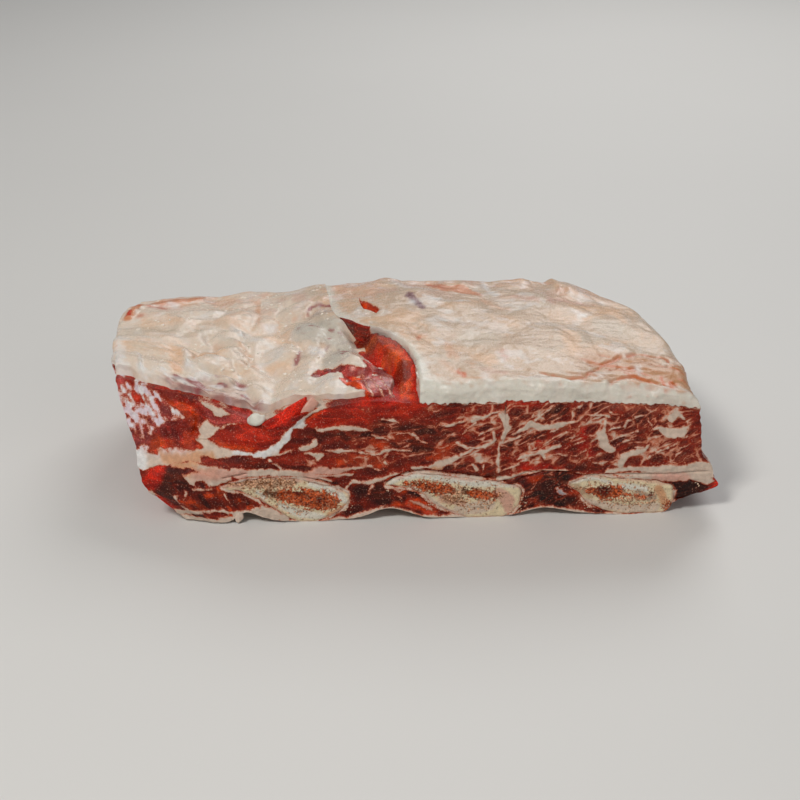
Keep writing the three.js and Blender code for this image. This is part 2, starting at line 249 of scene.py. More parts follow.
# What the sawn face shows: streaks as x, height and half width, patches as x and height.
streaksOfFat = [
    [(-55, 7, 1.2), (-51, 4.5, 2.3), (-46, 1.8, 1.8)],
    [(-3, 13, 0.3), (-0.6, 12.2, 0.6), (1.6, 13.2, 0.5)],
    [(-1.4, 10.2, 0.5), (0, 9, 0.6)],
    [(3.4, 8.6, 0.4), (6.4, 6.8, 0.9), (9.4, 4.9, 0.7), (12.2, 4, 0.5)],
    [(50.2, 7.5, 0.4), (51, 11, 0.8), (52.3, 14.6, 0.5)],
    [(60.2, 12, 0.5), (63.4, 9.6, 0.9), (66.9, 7.3, 0.7)],
    [(-52.6, 41.6, 1.2), (-51.2, 43.4, 1.4), (-49.8, 44.4, 0.8)],
    [(-112, 25.8, 2.6), (-109.1, 26.1, 2.9), (-102.5, 27.2, 2.6), (-93, 27.8, 2.1), (-83.4, 29.3, 2),
     (-75.8, 30.6, 2.2),
     (-69.2, 29, 1.4), (-61.8, 29, 1.1), (-54.5, 29.2, 1.2), (-48.9, 31.6, 1.8), (-44.6, 35.6, 1.9),
     (-41.4, 41.1, 1.7),
     (-38.2, 45.9, 1.8), (-34.7, 48, 2.1)],
    [(-81.7, 33.5, 0.6), (-77.5, 34.8, 1.1), (-72.3, 36.3, 0.6), (-69.7, 37.5, 0.2)],
    [(-96.8, 24.5, 1.3), (-87.5, 24.7, 1.6), (-77, 22.7, 2.3), (-67.6, 22.2, 2.1), (-58.1, 21.6, 1.6),
     (-49.3, 21.9, 1.6),
     (-41.4, 21.3, 1.5), (-35.4, 21.2, 1.5)],
    [(-91.5, 20.7, 2.3), (-85.8, 19.4, 3.1), (-77.5, 19.2, 2.3), (-70.6, 19.9, 1.6)],
    [(-90.1, 15.5, 0.9), (-80.9, 15.8, 0.9)],
    [(-98.8, 16.7, 0.5), (-102.2, 11.4, 0.6), (-105.1, 7.2, 0.5), (-102.2, 6.5, 0.3)],
    [(-94.6, 15, 0.6), (-99.3, 11.6, 0.4)],
    [(-110.7, 4.2, 1.3), (-97, 6.1, 0.7), (-84.9, 5.9, 0.7), (-71.3, 4.2, 0.8), (-57, 5.1, 1.1)],
    [(-74.1, 13.2, 0.5), (-74.9, 9.7, 0.4)],
    [(-61.8, 16.1, 1.6), (-54.4, 13.2, 1.6), (-48.2, 10.7, 1.6)],
    [(-61, 7, 1.6), (-54.9, 4.1, 2.4), (-49.1, 2.3, 2)],
    [(-50.7, 27.7, 0.7), (-47.5, 24.8, 0.7), (-44.5, 21.9, 0.8)],
    [(-111.9, 15, 1.1), (-111.9, 9.9, 1.1), (-112, 4.7, 1.1), (-112, 1.7, 0.9)],
    [(-37.4, 47.7, 2.1), (-33.2, 48.7, 2.3), (-27.6, 49.7, 2.1), (-23, 50.3, 1.6)],
    [(-37.6, 40.6, 0.7), (-34.3, 39.3, 1), (-29.5, 39.8, 0.9), (-23.9, 40.6, 1), (-18.3, 40.6, 1.1),
     (-13.3, 39.7, 0.7),
     (-11.2, 39.2, 0.2)],
    [(-33.9, 37.5, 1.1), (-33.4, 34.1, 1.5), (-35.8, 32.4, 1.6), (-38.8, 31.9, 1.2)],
    [(-35.9, 29.5, 1.4), (-33.3, 28.6, 2.2), (-30.5, 29.6, 1.1)],
    [(-28.7, 31.3, 0.4), (-23.6, 30.8, 0.7), (-19.5, 31.4, 1.1), (-16.4, 29.9, 0.7), (-11.3, 28.1, 0.5),
     (-7, 29.5, 1.1),
     (-2.9, 31, 0.6), (4.2, 30.2, 0.3)],
    [(-7.8, 43.6, 0.3), (-3.4, 43.1, 0.6), (0.1, 41.6, 0.2)],
    [(-11, 36.8, 0.7), (-7, 35.8, 0.8), (-5.1, 35.3, 0.2)],
    [(-2, 37.3, 0.2), (2.7, 38.1, 0.5), (5.8, 36.1, 0.6), (7.5, 33.5, 0.4), (10.4, 32.8, 0.2)],
    [(-6, 28.5, 0.5), (-8.1, 26.2, 0.4), (-5.5, 23.6, 0.3)],
    [(13.9, 40.8, 0.3), (19.2, 40.4, 0.7), (24, 42, 0.4)],
    [(27.3, 42.5, 0.8), (30.3, 43.9, 0.8), (33.8, 45.6, 0.5), (36.9, 46.6, 0.6), (39.6, 44.7, 0.9),
     (40, 41.1, 1.1),
     (40.9, 38.1, 1.1), (38.7, 34.5, 0.7), (37.4, 30.2, 0.8), (37.4, 25.1, 0.9), (38, 19.9, 0.8)],
    [(21.2, 32.8, 0.5), (24.9, 31.4, 0.7), (29.5, 30.7, 0.8), (33.2, 32.2, 0.9), (35.6, 33.8, 0.6)],
    [(27.9, 35.3, 0.2), (32, 38, 0.4), (36.5, 39.9, 0.3)],
    [(22.2, 36, 0.2), (25.3, 38.7, 0.3), (28.8, 41.5, 0.4)],
    [(10.4, 23.2, 0.7), (14.6, 23.7, 1.8), (18.2, 25.2, 1.7), (21.8, 27, 0.8), (24.9, 28.7, 0.3)],
    [(4.7, 23.1, 0.7), (10.4, 22.7, 0.9), (15.6, 22.2, 0.7)],
    [(35, 37.5, 0.5), (34.7, 32.7, 0.4)],
    [(27.7, 23.7, 0.9), (29.2, 21.2, 0.8)],
    [(31.8, 23.5, 0.3), (31.3, 19.3, 0.4)],
    [(-39, 22.7, 1.8), (-32.9, 23, 1.8), (-26.8, 22.4, 1.6), (-19.6, 23.4, 0.7), (-12.3, 23.7, 0.5),
     (-7.1, 21.5, 0.4)],
    [(-39.1, 19.8, 1.4), (-32, 19.6, 1.1), (-27.4, 17.6, 0.8)],
    [(-21.2, 14.3, 0.5), (-18.6, 17.4, 0.8), (-15, 16.4, 0.9), (-10.4, 17.3, 1.1), (-6.1, 18.7, 0.9),
     (-1.9, 20.2, 0.5)],
    [(-12.4, 11.3, 0.5), (-11.1, 14.9, 0.7)],
    [(-29.3, 0.4, 0.6), (-22.5, 0.3, 0.8), (-16.7, 2.4, 0.9), (-10.5, 4.8, 0.8), (-5.1, 6.3, 0.4)],
    [(42.7, 36.3, 0.4), (46.9, 38.6, 1), (49.9, 40.1, 1.9), (53, 38.8, 1.4), (56.7, 38.9, 1.1),
     (61, 39.4, 1.3),
     (64.7, 40.7, 0.7), (68.5, 42, 0.2)],
    [(51.8, 41.8, 0.7), (55.2, 44.9, 0.5), (58.7, 47.6, 0.3)],
    [(37.6, 44.9, 1.2), (39.8, 42.9, 1.4), (41.2, 39.8, 1.3), (40.4, 36, 0.8), (39.1, 31.4, 0.4)],
    [(72.8, 43.2, 0.4), (76, 43.1, 0.8), (79.1, 42.8, 0.7)],
    [(77.8, 40.8, 0.7), (77, 37.4, 1.1), (76.1, 34.8, 2.2), (76.9, 31.2, 2.4), (79.8, 28.5, 1.6)],
    [(94.4, 36.7, 0.4), (97.5, 37.4, 1.3), (101.7, 35.1, 2.6), (105, 34.7, 2), (107.4, 36.9, 1),
     (109.6, 39.3, 0.6)],
    [(102.7, 40.9, 1.6), (105.1, 43.4, 1.4), (108.1, 40.8, 0.6)],
    [(81.5, 21.3, 1.2), (83.5, 24.8, 1.8), (87.4, 26.6, 1.4), (91.6, 27.8, 0.9), (94.5, 30, 0.4)],
    [(45, 24.3, 0.3), (48.6, 26.7, 0.9), (53.1, 28.3, 1.2), (57.4, 29.7, 1), (61.2, 30.7, 0.6)],
    [(54.2, 27.7, 1.2), (55.4, 25.8, 0.8)],
    [(38.1, 30.7, 0.2), (42.9, 33.8, 0.3), (47.7, 36.7, 0.3)],
    [(44.1, 31.1, 0.3), (51.2, 34.2, 0.4), (56.2, 36.4, 0.3), (62.1, 38.9, 0.3)],
    [(50.3, 29.2, 0.2), (54.7, 32.1, 0.4), (61.1, 35.5, 0.3), (67.5, 38.7, 0.3), (72.8, 42.7, 0.3)],
    [(60.2, 30.8, 0.2), (64.9, 33.7, 0.5), (68.7, 35.2, 0.3)],
    [(64.1, 29.7, 0.3), (68.9, 31.8, 0.3), (72.9, 33.7, 0.3)],
    [(66.8, 25.6, 0.2), (70.4, 28.2, 0.3), (74.1, 30.4, 0.4)],
    [(38.9, 20.3, 0.3), (43.3, 22.5, 0.6), (48.2, 24.8, 0.5)],
    [(57, 26.4, 0.2), (61.9, 27.3, 0.3), (66.8, 25.9, 0.2), (68.9, 24.7, 0.2)],
    [(72, 24.8, 0.2), (76.3, 27.3, 0.4)],
    [(73.3, 23.3, 0.3), (76.2, 22.5, 0.7), (79.3, 23.3, 0.2)],
    [(78.4, 31.8, 0.3), (84.5, 34.5, 0.5), (89.7, 36.1, 0.4)],
    [(84.9, 37.7, 0.6), (86, 40.8, 0.8), (89.8, 42.7, 0.4), (93.7, 43.3, 0.3)],
    [(77.9, 35.3, 0.2), (80.2, 37.8, 0.6), (84.5, 38.5, 0.5)],
    [(81.4, 29.1, 0.3), (83.9, 31.2, 0.4), (88.1, 32.7, 0.3)],
    [(88.1, 28.8, 0.3), (92.2, 28.9, 0.3), (98.1, 30.1, 0.3), (101.7, 31.5, 0.3)],
    [(90.5, 23.4, 0.2), (96.5, 26.4, 0.4), (102.2, 29.8, 0.4), (107.7, 34.2, 0.3)],
    [(98.7, 24.8, 0.2), (105.3, 29.3, 0.3), (110.2, 31.2, 0.2)],
    [(65.6, 46.7, 0.4), (67.6, 47.2, 0.6), (70.5, 48.4, 0.2)],
    [(78.2, 47.2, 0.3), (80.8, 44.1, 0.4), (85, 43.2, 0.3)],
    [(94, 41.8, 0.4), (95, 39.3, 0.6), (94.4, 37, 0.4)],
    [(99.3, 39.7, 0.4), (101.6, 41.6, 0.6)],
    [(78.3, 19, 0.8), (84.8, 19.8, 1.3), (93.9, 19.4, 1.7), (102.7, 19.8, 1.4), (108.9, 20.5, 1.9),
     (111.8, 20.8, 1.6)],
    [(83.9, 16.3, 0.7), (89.5, 15.8, 1.1), (96.3, 15.5, 1.4), (103.5, 15.2, 1.4), (109.6, 14.9, 2.2),
     (109, 12.1, 0.8)],
    [(38.4, 17, 1), (43.3, 17.7, 1.1), (48.4, 19.2, 0.8), (55.2, 20, 0.4), (62.1, 20.1, 0.4),
     (67.8, 18.5, 0.4),
     (73.7, 16.9, 0.3)],
]
streaksOfLean = [  # lean bundles that lie in the fat
    [(-82.2, 26.9, 0.6), (-78.3, 26.5, 1.6), (-73.8, 25.7, 1.6), (-69.9, 24.8, 0.7)],
    [(-70.9, 27.5, 0.5), (-63.9, 26.5, 2), (-58.9, 26.6, 2.3), (-54.8, 25.5, 1.9), (-50.6, 24.5, 0.5)],
    [(-50.2, 26.4, 0.3), (-45.4, 27.5, 1.8), (-40.8, 27.6, 2.3), (-35.3, 26.5, 2.5)],
    [(-45, 24.3, 0.3), (-40.4, 23.8, 0.8), (-35.4, 23.1, 1.1)],
    [(-46.2, 30.3, 0.3), (-42.6, 33.3, 1.8), (-38.4, 36.9, 2.6), (-35, 39.2, 3.1)],
    [(-112, 15.7, 1.8), (-107.6, 19.1, 2.1), (-104.3, 22.6, 1.8), (-101.3, 24.5, 0.7)],
    [(-105.8, 20.7, 1), (-99.4, 23, 1.2), (-93.1, 23.1, 0.9), (-87.9, 23, 0.7)],
    [(-99.8, 20.8, 2.3), (-94.9, 19.6, 2.4), (-92.2, 18.1, 1.5)],
    [(-107.1, 13, 3.7), (-101.6, 16.9, 3)],
    [(-111.9, 9.8, 2.1), (-112, 7.3, 2.3), (-111.8, 5.5, 1)],
    [(-98.1, 13.8, 0.7), (-98.5, 12.7, 0.5)],
    [(-105.8, 8.9, 0.5), (-103.7, 8.2, 0.6)],
    [(-95.1, 12, 1.8), (-90.1, 12, 2.9), (-81.4, 12.4, 3.2), (-78.1, 9, 2)],
    [(-72.4, 10.7, 1.8), (-67.9, 8.7, 3.4), (-61, 9.4, 2.9), (-55.7, 10, 0.9)],
    [(-86.9, 17.8, 1.1), (-82.9, 17.4, 1.2)],
    [(-38.6, 37.7, 3.1), (-36.2, 37.1, 1.9)],
    [(-32.1, 37.5, 0.5), (-26.1, 37.7, 1), (-18.4, 37.3, 1.5), (-13.3, 36.8, 1.6), (-10.2, 35.9, 0.8)],
    [(-32, 32.1, 0.7), (-27.6, 33.8, 1.9), (-22, 33.8, 2), (-15.9, 32.9, 2.2), (-10.2, 32, 2.1)],
    [(-38.9, 28.1, 2.3), (-36.4, 28.1, 1.6)],
    [(-39, 24, 1.2), (-33.9, 25.3, 1.2), (-29.2, 26.5, 0.8)],
    [(-29.2, 28.9, 0.3), (-26.2, 29.6, 0.9), (-22.9, 29.5, 0.3)],
    [(-24.1, 26, 0.5), (-19, 27, 1.6), (-12.9, 26.5, 1.6), (-8.1, 24.7, 0.9), (-6.8, 23.7, 0.3)],
    [(-28, 23.9, 0.4), (-24.2, 25.4, 0.8)],
    [(-18.4, 19.2, 0.9), (-15, 21, 1.9), (-11.1, 21.2, 1.8), (-8.7, 21, 1), (-5.6, 20.5, 0.8)],
    [(-22.5, 17.7, 2.5)],
    [(-15.8, 13.1, 3.4), (-18.8, 9, 2.3), (-19, 4.5, 1.5)],
    [(-9.8, 11.9, 2.6), (-6.1, 10.8, 3.1), (-1, 7.2, 2.1)],
    [(2.7, 14.4, 1.6), (5.9, 11.9, 2.3), (9.6, 8.7, 1.8), (11.6, 6.4, 0.5)],
    [(-4.1, 17, 1), (-1.9, 17.9, 0.6)],
    [(45.2, 12.9, 1.7), (49.8, 14.4, 1.9), (52.9, 16.8, 1.1)],
    [(48.2, 8.1, 2.4), (52.1, 11.2, 1.3)],
    [(55, 7.8, 2.4), (57.2, 12.1, 1.7), (60.7, 17.3, 1.6), (64.7, 19, 0.8)],
    [(57.4, 5.9, 2.4), (62.4, 7.3, 2), (66.9, 7.1, 2.2), (71.8, 4.6, 0.7)],
    [(98.9, 10.8, 2.2), (102.7, 11, 2.7), (108.7, 10.4, 2), (112.9, 10.4, 1.3)],
    [(105.2, 6.9, 1.1), (106.6, 7.5, 1.6)],
]
tornMuscle = [(-106, 50), (-98, 49), (-91.3, 48.5), (-83.5, 48), (-79.4, 46.2), (-75.8, 40.7), (-81.5, 37.2),
              (-80.8, 34.9), (-84.5, 32.9), (-81.4, 31.1), (-85.7, 30), (-94.6, 30.1), (-102.1, 29.4),
              (-107.7, 28.3),
              (-102.7, 32.9), (-99.4, 34.5), (-94.8, 36.8), (-85.2, 39.6), (-86.7, 41.4), (-90.8, 42.9),
              (-94, 45)]
shoulderMuscle = [(-77.6, 33.8), (-73, 36), (-67.1, 39.1), (-61.4, 40.8), (-55.7, 41.8), (-50.2, 42.7),
                  (-44.9, 45),
                  (-40.2, 48), (-33.8, 52), (-30.1, 52), (-33.8, 48.5), (-39.1, 45.2), (-43.4, 40.5),
                  (-47.1, 35.6),
                  (-51.5, 32.1), (-57.4, 30.3), (-63.4, 30.5), (-68.7, 31.3), (-73.4, 32.3)]
lensMuscle = [(-37, 43.2), (-35, 45.9), (-29.5, 49), (-25.6, 50), (-18.7, 52), (-6, 54), (5.7, 54), (12, 50),
              (5.2, 45.7), (0, 43.3), (-3.4, 43.7), (-8, 43.9), (-14.3, 42.2), (-21.9, 42.1), (-28.5, 40.8),
              (-34.5, 40.9)]
mauveMuscle = [(-88.5, 48), (-75.5, 47.5), (-61.7, 45), (-56.2, 42), (-64.7, 40.2), (-71.8, 38.6),
               (-75.3, 38.6),
               (-75.8, 40.7), (-79.4, 46.2)]
whiteOnMauve = [(-78.3, 46.8), (-73.2, 46.2), (-68.2, 45.2), (-64.2, 43.2), (-67.7, 42.1), (-72.1, 41.8),
                (-72.8, 43.6), (-76.9, 44.8)]
leftGround = [(-125, 60), (-125, 25), (-83, 27), (-50, 29), (-44, 30), (-33, 38), (-30, 43), (-36, 60)]

colours = {  # 0-255, as a picture editor shows them
    "flesh": (108, 26, 8), "bright": (146, 34, 10), "cream": (206, 184, 166), "ember": (178, 62, 18),
    "wine": (112, 24, 14), "scarlet": (176, 32, 12), "brown": (66, 20, 6), "brownDark": (36, 13, 6),
    "wineDark": (40, 9, 5), "wineRight": (92, 28, 17), "mealy": (142, 74, 62), "stain": (204, 146, 104),
    "pinkFat": (206, 154, 136), "frost": (224, 222, 220), "steel": (150, 152, 164), "mauve": (142, 60, 62),
    "mottle": (214, 196, 202), "rosy": (158, 72, 78), "peach": (222, 178, 140), "ruffle": (200, 124, 78),
    "beige": (198, 182, 162), "grey": (128, 112, 106), "moss": (190, 182, 168), "plum": (104, 50, 64),
    "amber": (196, 96, 44), "chalk": (216, 212, 200), "tan": (184, 130, 88), "porous": (160, 138, 120),
    "speckled": (186, 158, 128), "rust": (164, 60, 8), "umber": (84, 36, 12), "blood": (84, 12, 4),
    "porousPink": (176, 134, 110), "boneCream": (222, 204, 168), "skin": (186, 146, 124),
    # the right sheet's base is darker than the left's: partly the fat's tan, partly painted shade where less
    # light reaches it
    "capRightShaded": (198, 172, 148), "capLeft": (218, 200, 182),
}
tintsOfLean = [
    ("ember", [(-92.4, 45, 1.6), (-88.5, 43.2, 2.1), (-84.3, 42.1, 2.3), (-82.2, 39.9, 2.1),
    (-82.5, 37.5, 1.3)]),
    ("ember", [(-106.8, 29.3, 1), (-101.1, 30.3, 1.6), (-94.3, 30.6, 0.9)]),
    ("ember", [(-84.9, 33.3, 0.8), (-81.4, 31.1, 1.3)]),
    ("ember", [(-73.3, 32.8, 0.8), (-66.4, 31.1, 0.9), (-58.5, 30.5, 0.8)]),
    ("wine", [(-104.3, 46.8, 1), (-97.5, 46.8, 2.1), (-91.8, 46.8, 1.6), (-83.9, 46.9, 1.3)]),
    ("wine", [(-94.8, 36.8, 1), (-92.8, 33.8, 2.6), (-85.7, 32.8, 2.1), (-90.4, 30.8, 1.6)]),
    ("scarlet", [(-47.6, 43.6, 2.6), (-41.3, 46.6, 3.1), (-33.8, 48.5, 2.3), (-28.5, 49.5, 1.6)]),
    ("brown", [(-93.7, 19.6, 3.1), (-99.7, 21.3, 3.1), (-106.4, 13.1, 3.1)]),
    ("scarlet", [(-112, 15.7, 2.1), (-107.4, 18.8, 2.6), (-104.2, 22.8, 2.3), (-101.6, 24.7, 1)]),
    ("scarlet", [(-112, 10.5, 1.6), (-111.9, 7.7, 2.1)]),
    ("ember", [(-36, 45.9, 1.6), (-32.5, 48.8, 1.6)]),
    ("scarlet", [(-21.2, 50.5, 1.6), (-12.1, 51.3, 1.6), (-3.8, 51, 1.6)]),
    ("brown", [(-32.1, 37.7, 1), (-18.4, 37.3, 1.6), (-11.2, 36.5, 1.6)]),
    ("brown", [(-10.2, 40.5, 1), (-5.5, 41, 2.1), (1.2, 39.4, 1.6)]),
    ("brown", [(-3, 33.9, 2.1), (7.3, 31.8, 3.1), (15, 29.4, 2.1)]),
    ("brown", [(5.8, 38.7, 2.1), (12.4, 37.4, 3.1), (18.6, 35.6, 2.1)]),
    ("ember", [(-24.1, 26.3, 1), (-18.5, 26.9, 1.6), (-12.3, 26.5, 1.6), (-7.6, 24.6, 1)]),
    ("ember", [(-10.2, 33.5, 1.6), (-7, 32.2, 1.6)]),
    ("ember", [(-2, 37.1, 1.3), (3.2, 36.5, 1)]),
    ("ember", [(15, 30.5, 1.6), (20.3, 31.1, 1)]),
    ("ember", [(10.4, 26.2, 1.3), (16.6, 27.7, 1)]),
    ("scarlet", [(3.7, 8.2, 1.8), (8.4, 6.5, 1.8), (11.6, 3.5, 1.6)]),
    ("wineDark", [(5.4, 11.9, 1.6), (9.6, 8.2, 1.3)]),
    ("wineDark", [(-8.1, 10.8, 3.6), (-15.5, 13.1, 3.1)]),
    ("brown", [(-8.8, 14.9, 3.1), (-6.1, 9.7, 3.1)]),
    ("brown", [(54.3, 43.9, 3.3), (60.7, 45, 2.2)]),
    ("brown", [(44.2, 42.6, 1.7), (43.3, 38.5, 1.4)]),
    ("brown", [(53.3, 36, 2.8), (47.8, 34.5, 2.2), (41.3, 31.4, 2.2)]),
    ("scarlet", [(40.8, 49.2, 1.7), (48.2, 49.6, 1.7), (55.7, 49, 1.1)]),
    ("scarlet", [(53.3, 21.8, 2.2), (60.6, 20.7, 1.1), (46.7, 22.4, 1.7)]),
    ("scarlet", [(51.8, 31.4, 1.7), (56.4, 30.5, 1.1)]),
    ("scarlet", [(71, 27.5, 1.7), (69.1, 38.1, 1.4)]),
    ("wineRight", [(82.2, 39.7, 3.3), (90.7, 40.3, 3.3), (99.1, 42.7, 3.3)]),
    ("wineRight", [(86.6, 33.9, 3.3), (94.9, 32, 3.3), (101.6, 26.3, 3.9)]),
    ("mealy", [(76.1, 47.2, 1.1), (87, 47.6, 1.7), (97.9, 45.9, 1.7), (104.3, 44.9, 1.1)]),
    ("brownDark", [(47.5, 10.1, 3.3), (55.5, 12.2, 3.9), (61.7, 17.3, 2.2)]),
    ("brown", [(103.4, 9.4, 3.3), (108.7, 10.4, 2.8)]),
]
tintsOfFat = [
    ("pinkFat", [(-3, 12.6, 1), (-0.6, 9.6, 1.2), (6.4, 6.8, 2), (10.6, 4.6, 1.8)]),
    ("stain", [(-101.3, 27.6, 1.3), (-93.6, 26.1, 2.3), (-85.4, 27.4, 1.8), (-76.5, 28.4, 1.3)]),
    ("stain", [(-97, 23.2, 1.3), (-87.9, 23, 1.3), (-77.8, 22.1, 1.6)]),
    ("frost", [(-111.3, 27.5, 1.6), (-111.4, 23.6, 2.1)]),
    ("frost", [(-66.6, 30, 1), (-54.5, 29.4, 1), (-44.7, 34.4, 1.6), (-38.2, 45.4, 2.1)]),
    ("pinkFat", [(-86.1, 21.5, 2.1), (-74.4, 21.6, 2.1), (-62.6, 22, 1.6)]),
    ("stain", [(12.5, 22, 0.7), (20.4, 21, 0.9), (28.3, 20.1, 0.7)]),
    ("pinkFat", [(-36.1, 22, 3.1), (-28.8, 22.4, 2.6), (-22.2, 23.5, 1.6)]),
    ("pinkFat", [(-17.6, 14.3, 1.6), (-12.4, 10.1, 2.1), (-14.6, 6.6, 2.6)]),
    ("pinkFat", [(94, 15.6, 1.7), (103.5, 15.2, 1.7)]),
    ("steel", [(60.4, 11.2, 0.6), (63.4, 9.1, 0.8), (66.9, 7.1, 0.6)]),
]
tintsOfRibMeat = [
    ("wineDark", [(3.6, 13.1, 1), (8.2, 10.1, 1.4), (11.4, 7, 1)]),
    ("ember", [(4.7, 8.1, 1.6), (9, 5.1, 1.8), (12.2, 3.6, 1.2)]),
    ("brownDark", [(47, 9.8, 2), (47.2, 4.8, 2)]),
    ("brownDark", [(51.5, 12.7, 1.6)]),
    ("brownDark", [(56.3, 7.5, 2.8), (63.8, 5.7, 2.8), (69.5, 5.5, 1.9)]),
    ("brownDark", [(56.8, 18.7, 1.4), (63, 16.9, 1.4)]),
    ("brownDark", [(100.1, 10.3, 3), (107.1, 9.1, 3.4), (111, 9, 2)]),
    ("scarlet", [(111.7, 14, 1.4), (112.9, 10.6, 0.9)]),
]

# The same for the top, as x, distance from the front and half width.
tintsOfLeftTop = [
    ("ruffle", [(-108, 87.2, 1.7), (-107.1, 109.8, 2.1), (-102.5, 116.6, 2.4), (-94.9, 115.4, 2.6),
                (-86.7, 117.4, 1.9), (-82.6, 119.4, 1.1)]),
    ("ember", [(-106.8, 109.5, 0.6), (-101.1, 107.1, 0.8), (-95.1, 102.5, 0.9)]),
    ("stain", [(-90.1, 109.9, 1.1), (-83.8, 113.1, 0.9)]),
    ("frost", [(-95, 111.7, 0.7), (-91.6, 109, 0.9)]),
    ("scarlet", [(-108.9, 95.6, 0.8), (-108.5, 90.2, 0.9)]),
    ("ember", [(-103.7, 89.4, 0.6)]),
    ("beige", [(-107.5, 72.2, 2.1), (-96.9, 72.6, 2.1), (-85.7, 72.1, 2.6), (-76, 70.1, 1.7)]),
    ("peach", [(-87.4, 48.1, 2.1), (-86.8, 28, 3.4), (-86.7, 16.8, 2.6)]),
    ("stain", [(-86.7, 16.8, 1.1), (-85, 18.8, 0.6)]),
    ("stain", [(-72.1, 55.4, 0.6), (-68.9, 54.7, 0.5)]),
    ("stain", [(-63.3, 61.3, 0.5), (-62.4, 55.7, 0.6), (-58.7, 47.2, 0.6)]),
    ("stain", [(-79.8, 35.5, 0.4), (-74.9, 44.7, 0.4), (-71.1, 44.4, 0.3)]),
    ("stain", [(-60.1, 38, 0.7), (-56.1, 39, 0.6)]),
    # frost along the ridges, round the mound and down the left edge: white fat with painted highlights on the
    # raised and lit places
    ("frost", [(-66.4, 75.8, 0.7), (-63, 71.4, 0.9), (-61.9, 64, 0.6)]),
    ("frost", [(-83.3, 42.6, 0.6), (-82.3, 20.9, 0.8), (-78.2, 15.6, 0.8), (-71.2, 17.9, 0.5)]),
    ("frost", [(-109.8, 45.3, 1.7), (-109.7, 15.7, 2.1), (-109.9, 2.7, 2.1), (-108, 1.9, 1.7)]),
    ("frost", [(-103.3, 28.4, 0.9), (-101.2, 19.5, 0.6), (-101, 8.8, 0.6), (-101, 2.6, 0.6)]),
    ("frost", [(-92.2, 12.1, 0.4), (-89.9, 4.9, 0.5)]),
    ("mauve", [(-35.7, 85.3, 0.7), (-33.9, 91.8, 0.8), (-30.7, 92.7, 0.6), (-27.9, 88.3, 1),
               (-24.6, 82.8, 0.6)]),
    ("frost", [(-30.8, 89.6, 0.6)]),
    ("stain", [(-36.3, 84.2, 0.7)]),
    ("stain", [(-41.2, 84.6, 0.6)]),
    ("stain", [(-57.1, 106.4, 0.8), (-55.8, 82, 0.6)]),
    ("grey", [(-33.1, 70, 0.5), (-29.5, 68.8, 0.5)]),
    ("grey", [(-35.7, 81.5, 0.4), (-18.5, 74.2, 0.4), (-12.5, 72.8, 0.4)]),
    ("wine", [(-21.7, 59.2, 0.6)]),
    ("mauve", [(-28.3, 48.3, 0.4), (-26.1, 52, 0.4), (-23.4, 52.4, 0.4), (-20.3, 52.1, 0.4),
               (-17.2, 55, 0.5), (-15.3, 56.7, 0.4)]),
    ("mauve", [(-28.8, 42.4, 0.3), (-24.4, 41.2, 0.3), (-22.7, 43.5, 0.6), (-20.1, 41, 0.5)]),
    ("mauve", [(-39.7, 41.9, 1), (-38.8, 46.8, 0.5)]),
    ("grey", [(-37.1, 44.6, 0.6)]),
    ("mauve", [(-17.6, 36.1, 0.8), (-15.6, 32.6, 0.8)]),
    ("moss", [(-37.1, 65.3, 4.1), (-25.9, 62, 4.6), (-19.6, 46.7, 4.1), (-26.3, 34.2, 2.7)]),
    ("frost", [(-50.9, 77.8, 2)]),
    ("frost", [(-33.2, 47.7, 1.8), (-29.6, 45.3, 1.4)]),
    ("stain", [(-29.6, 51.4, 0.6)]),
]
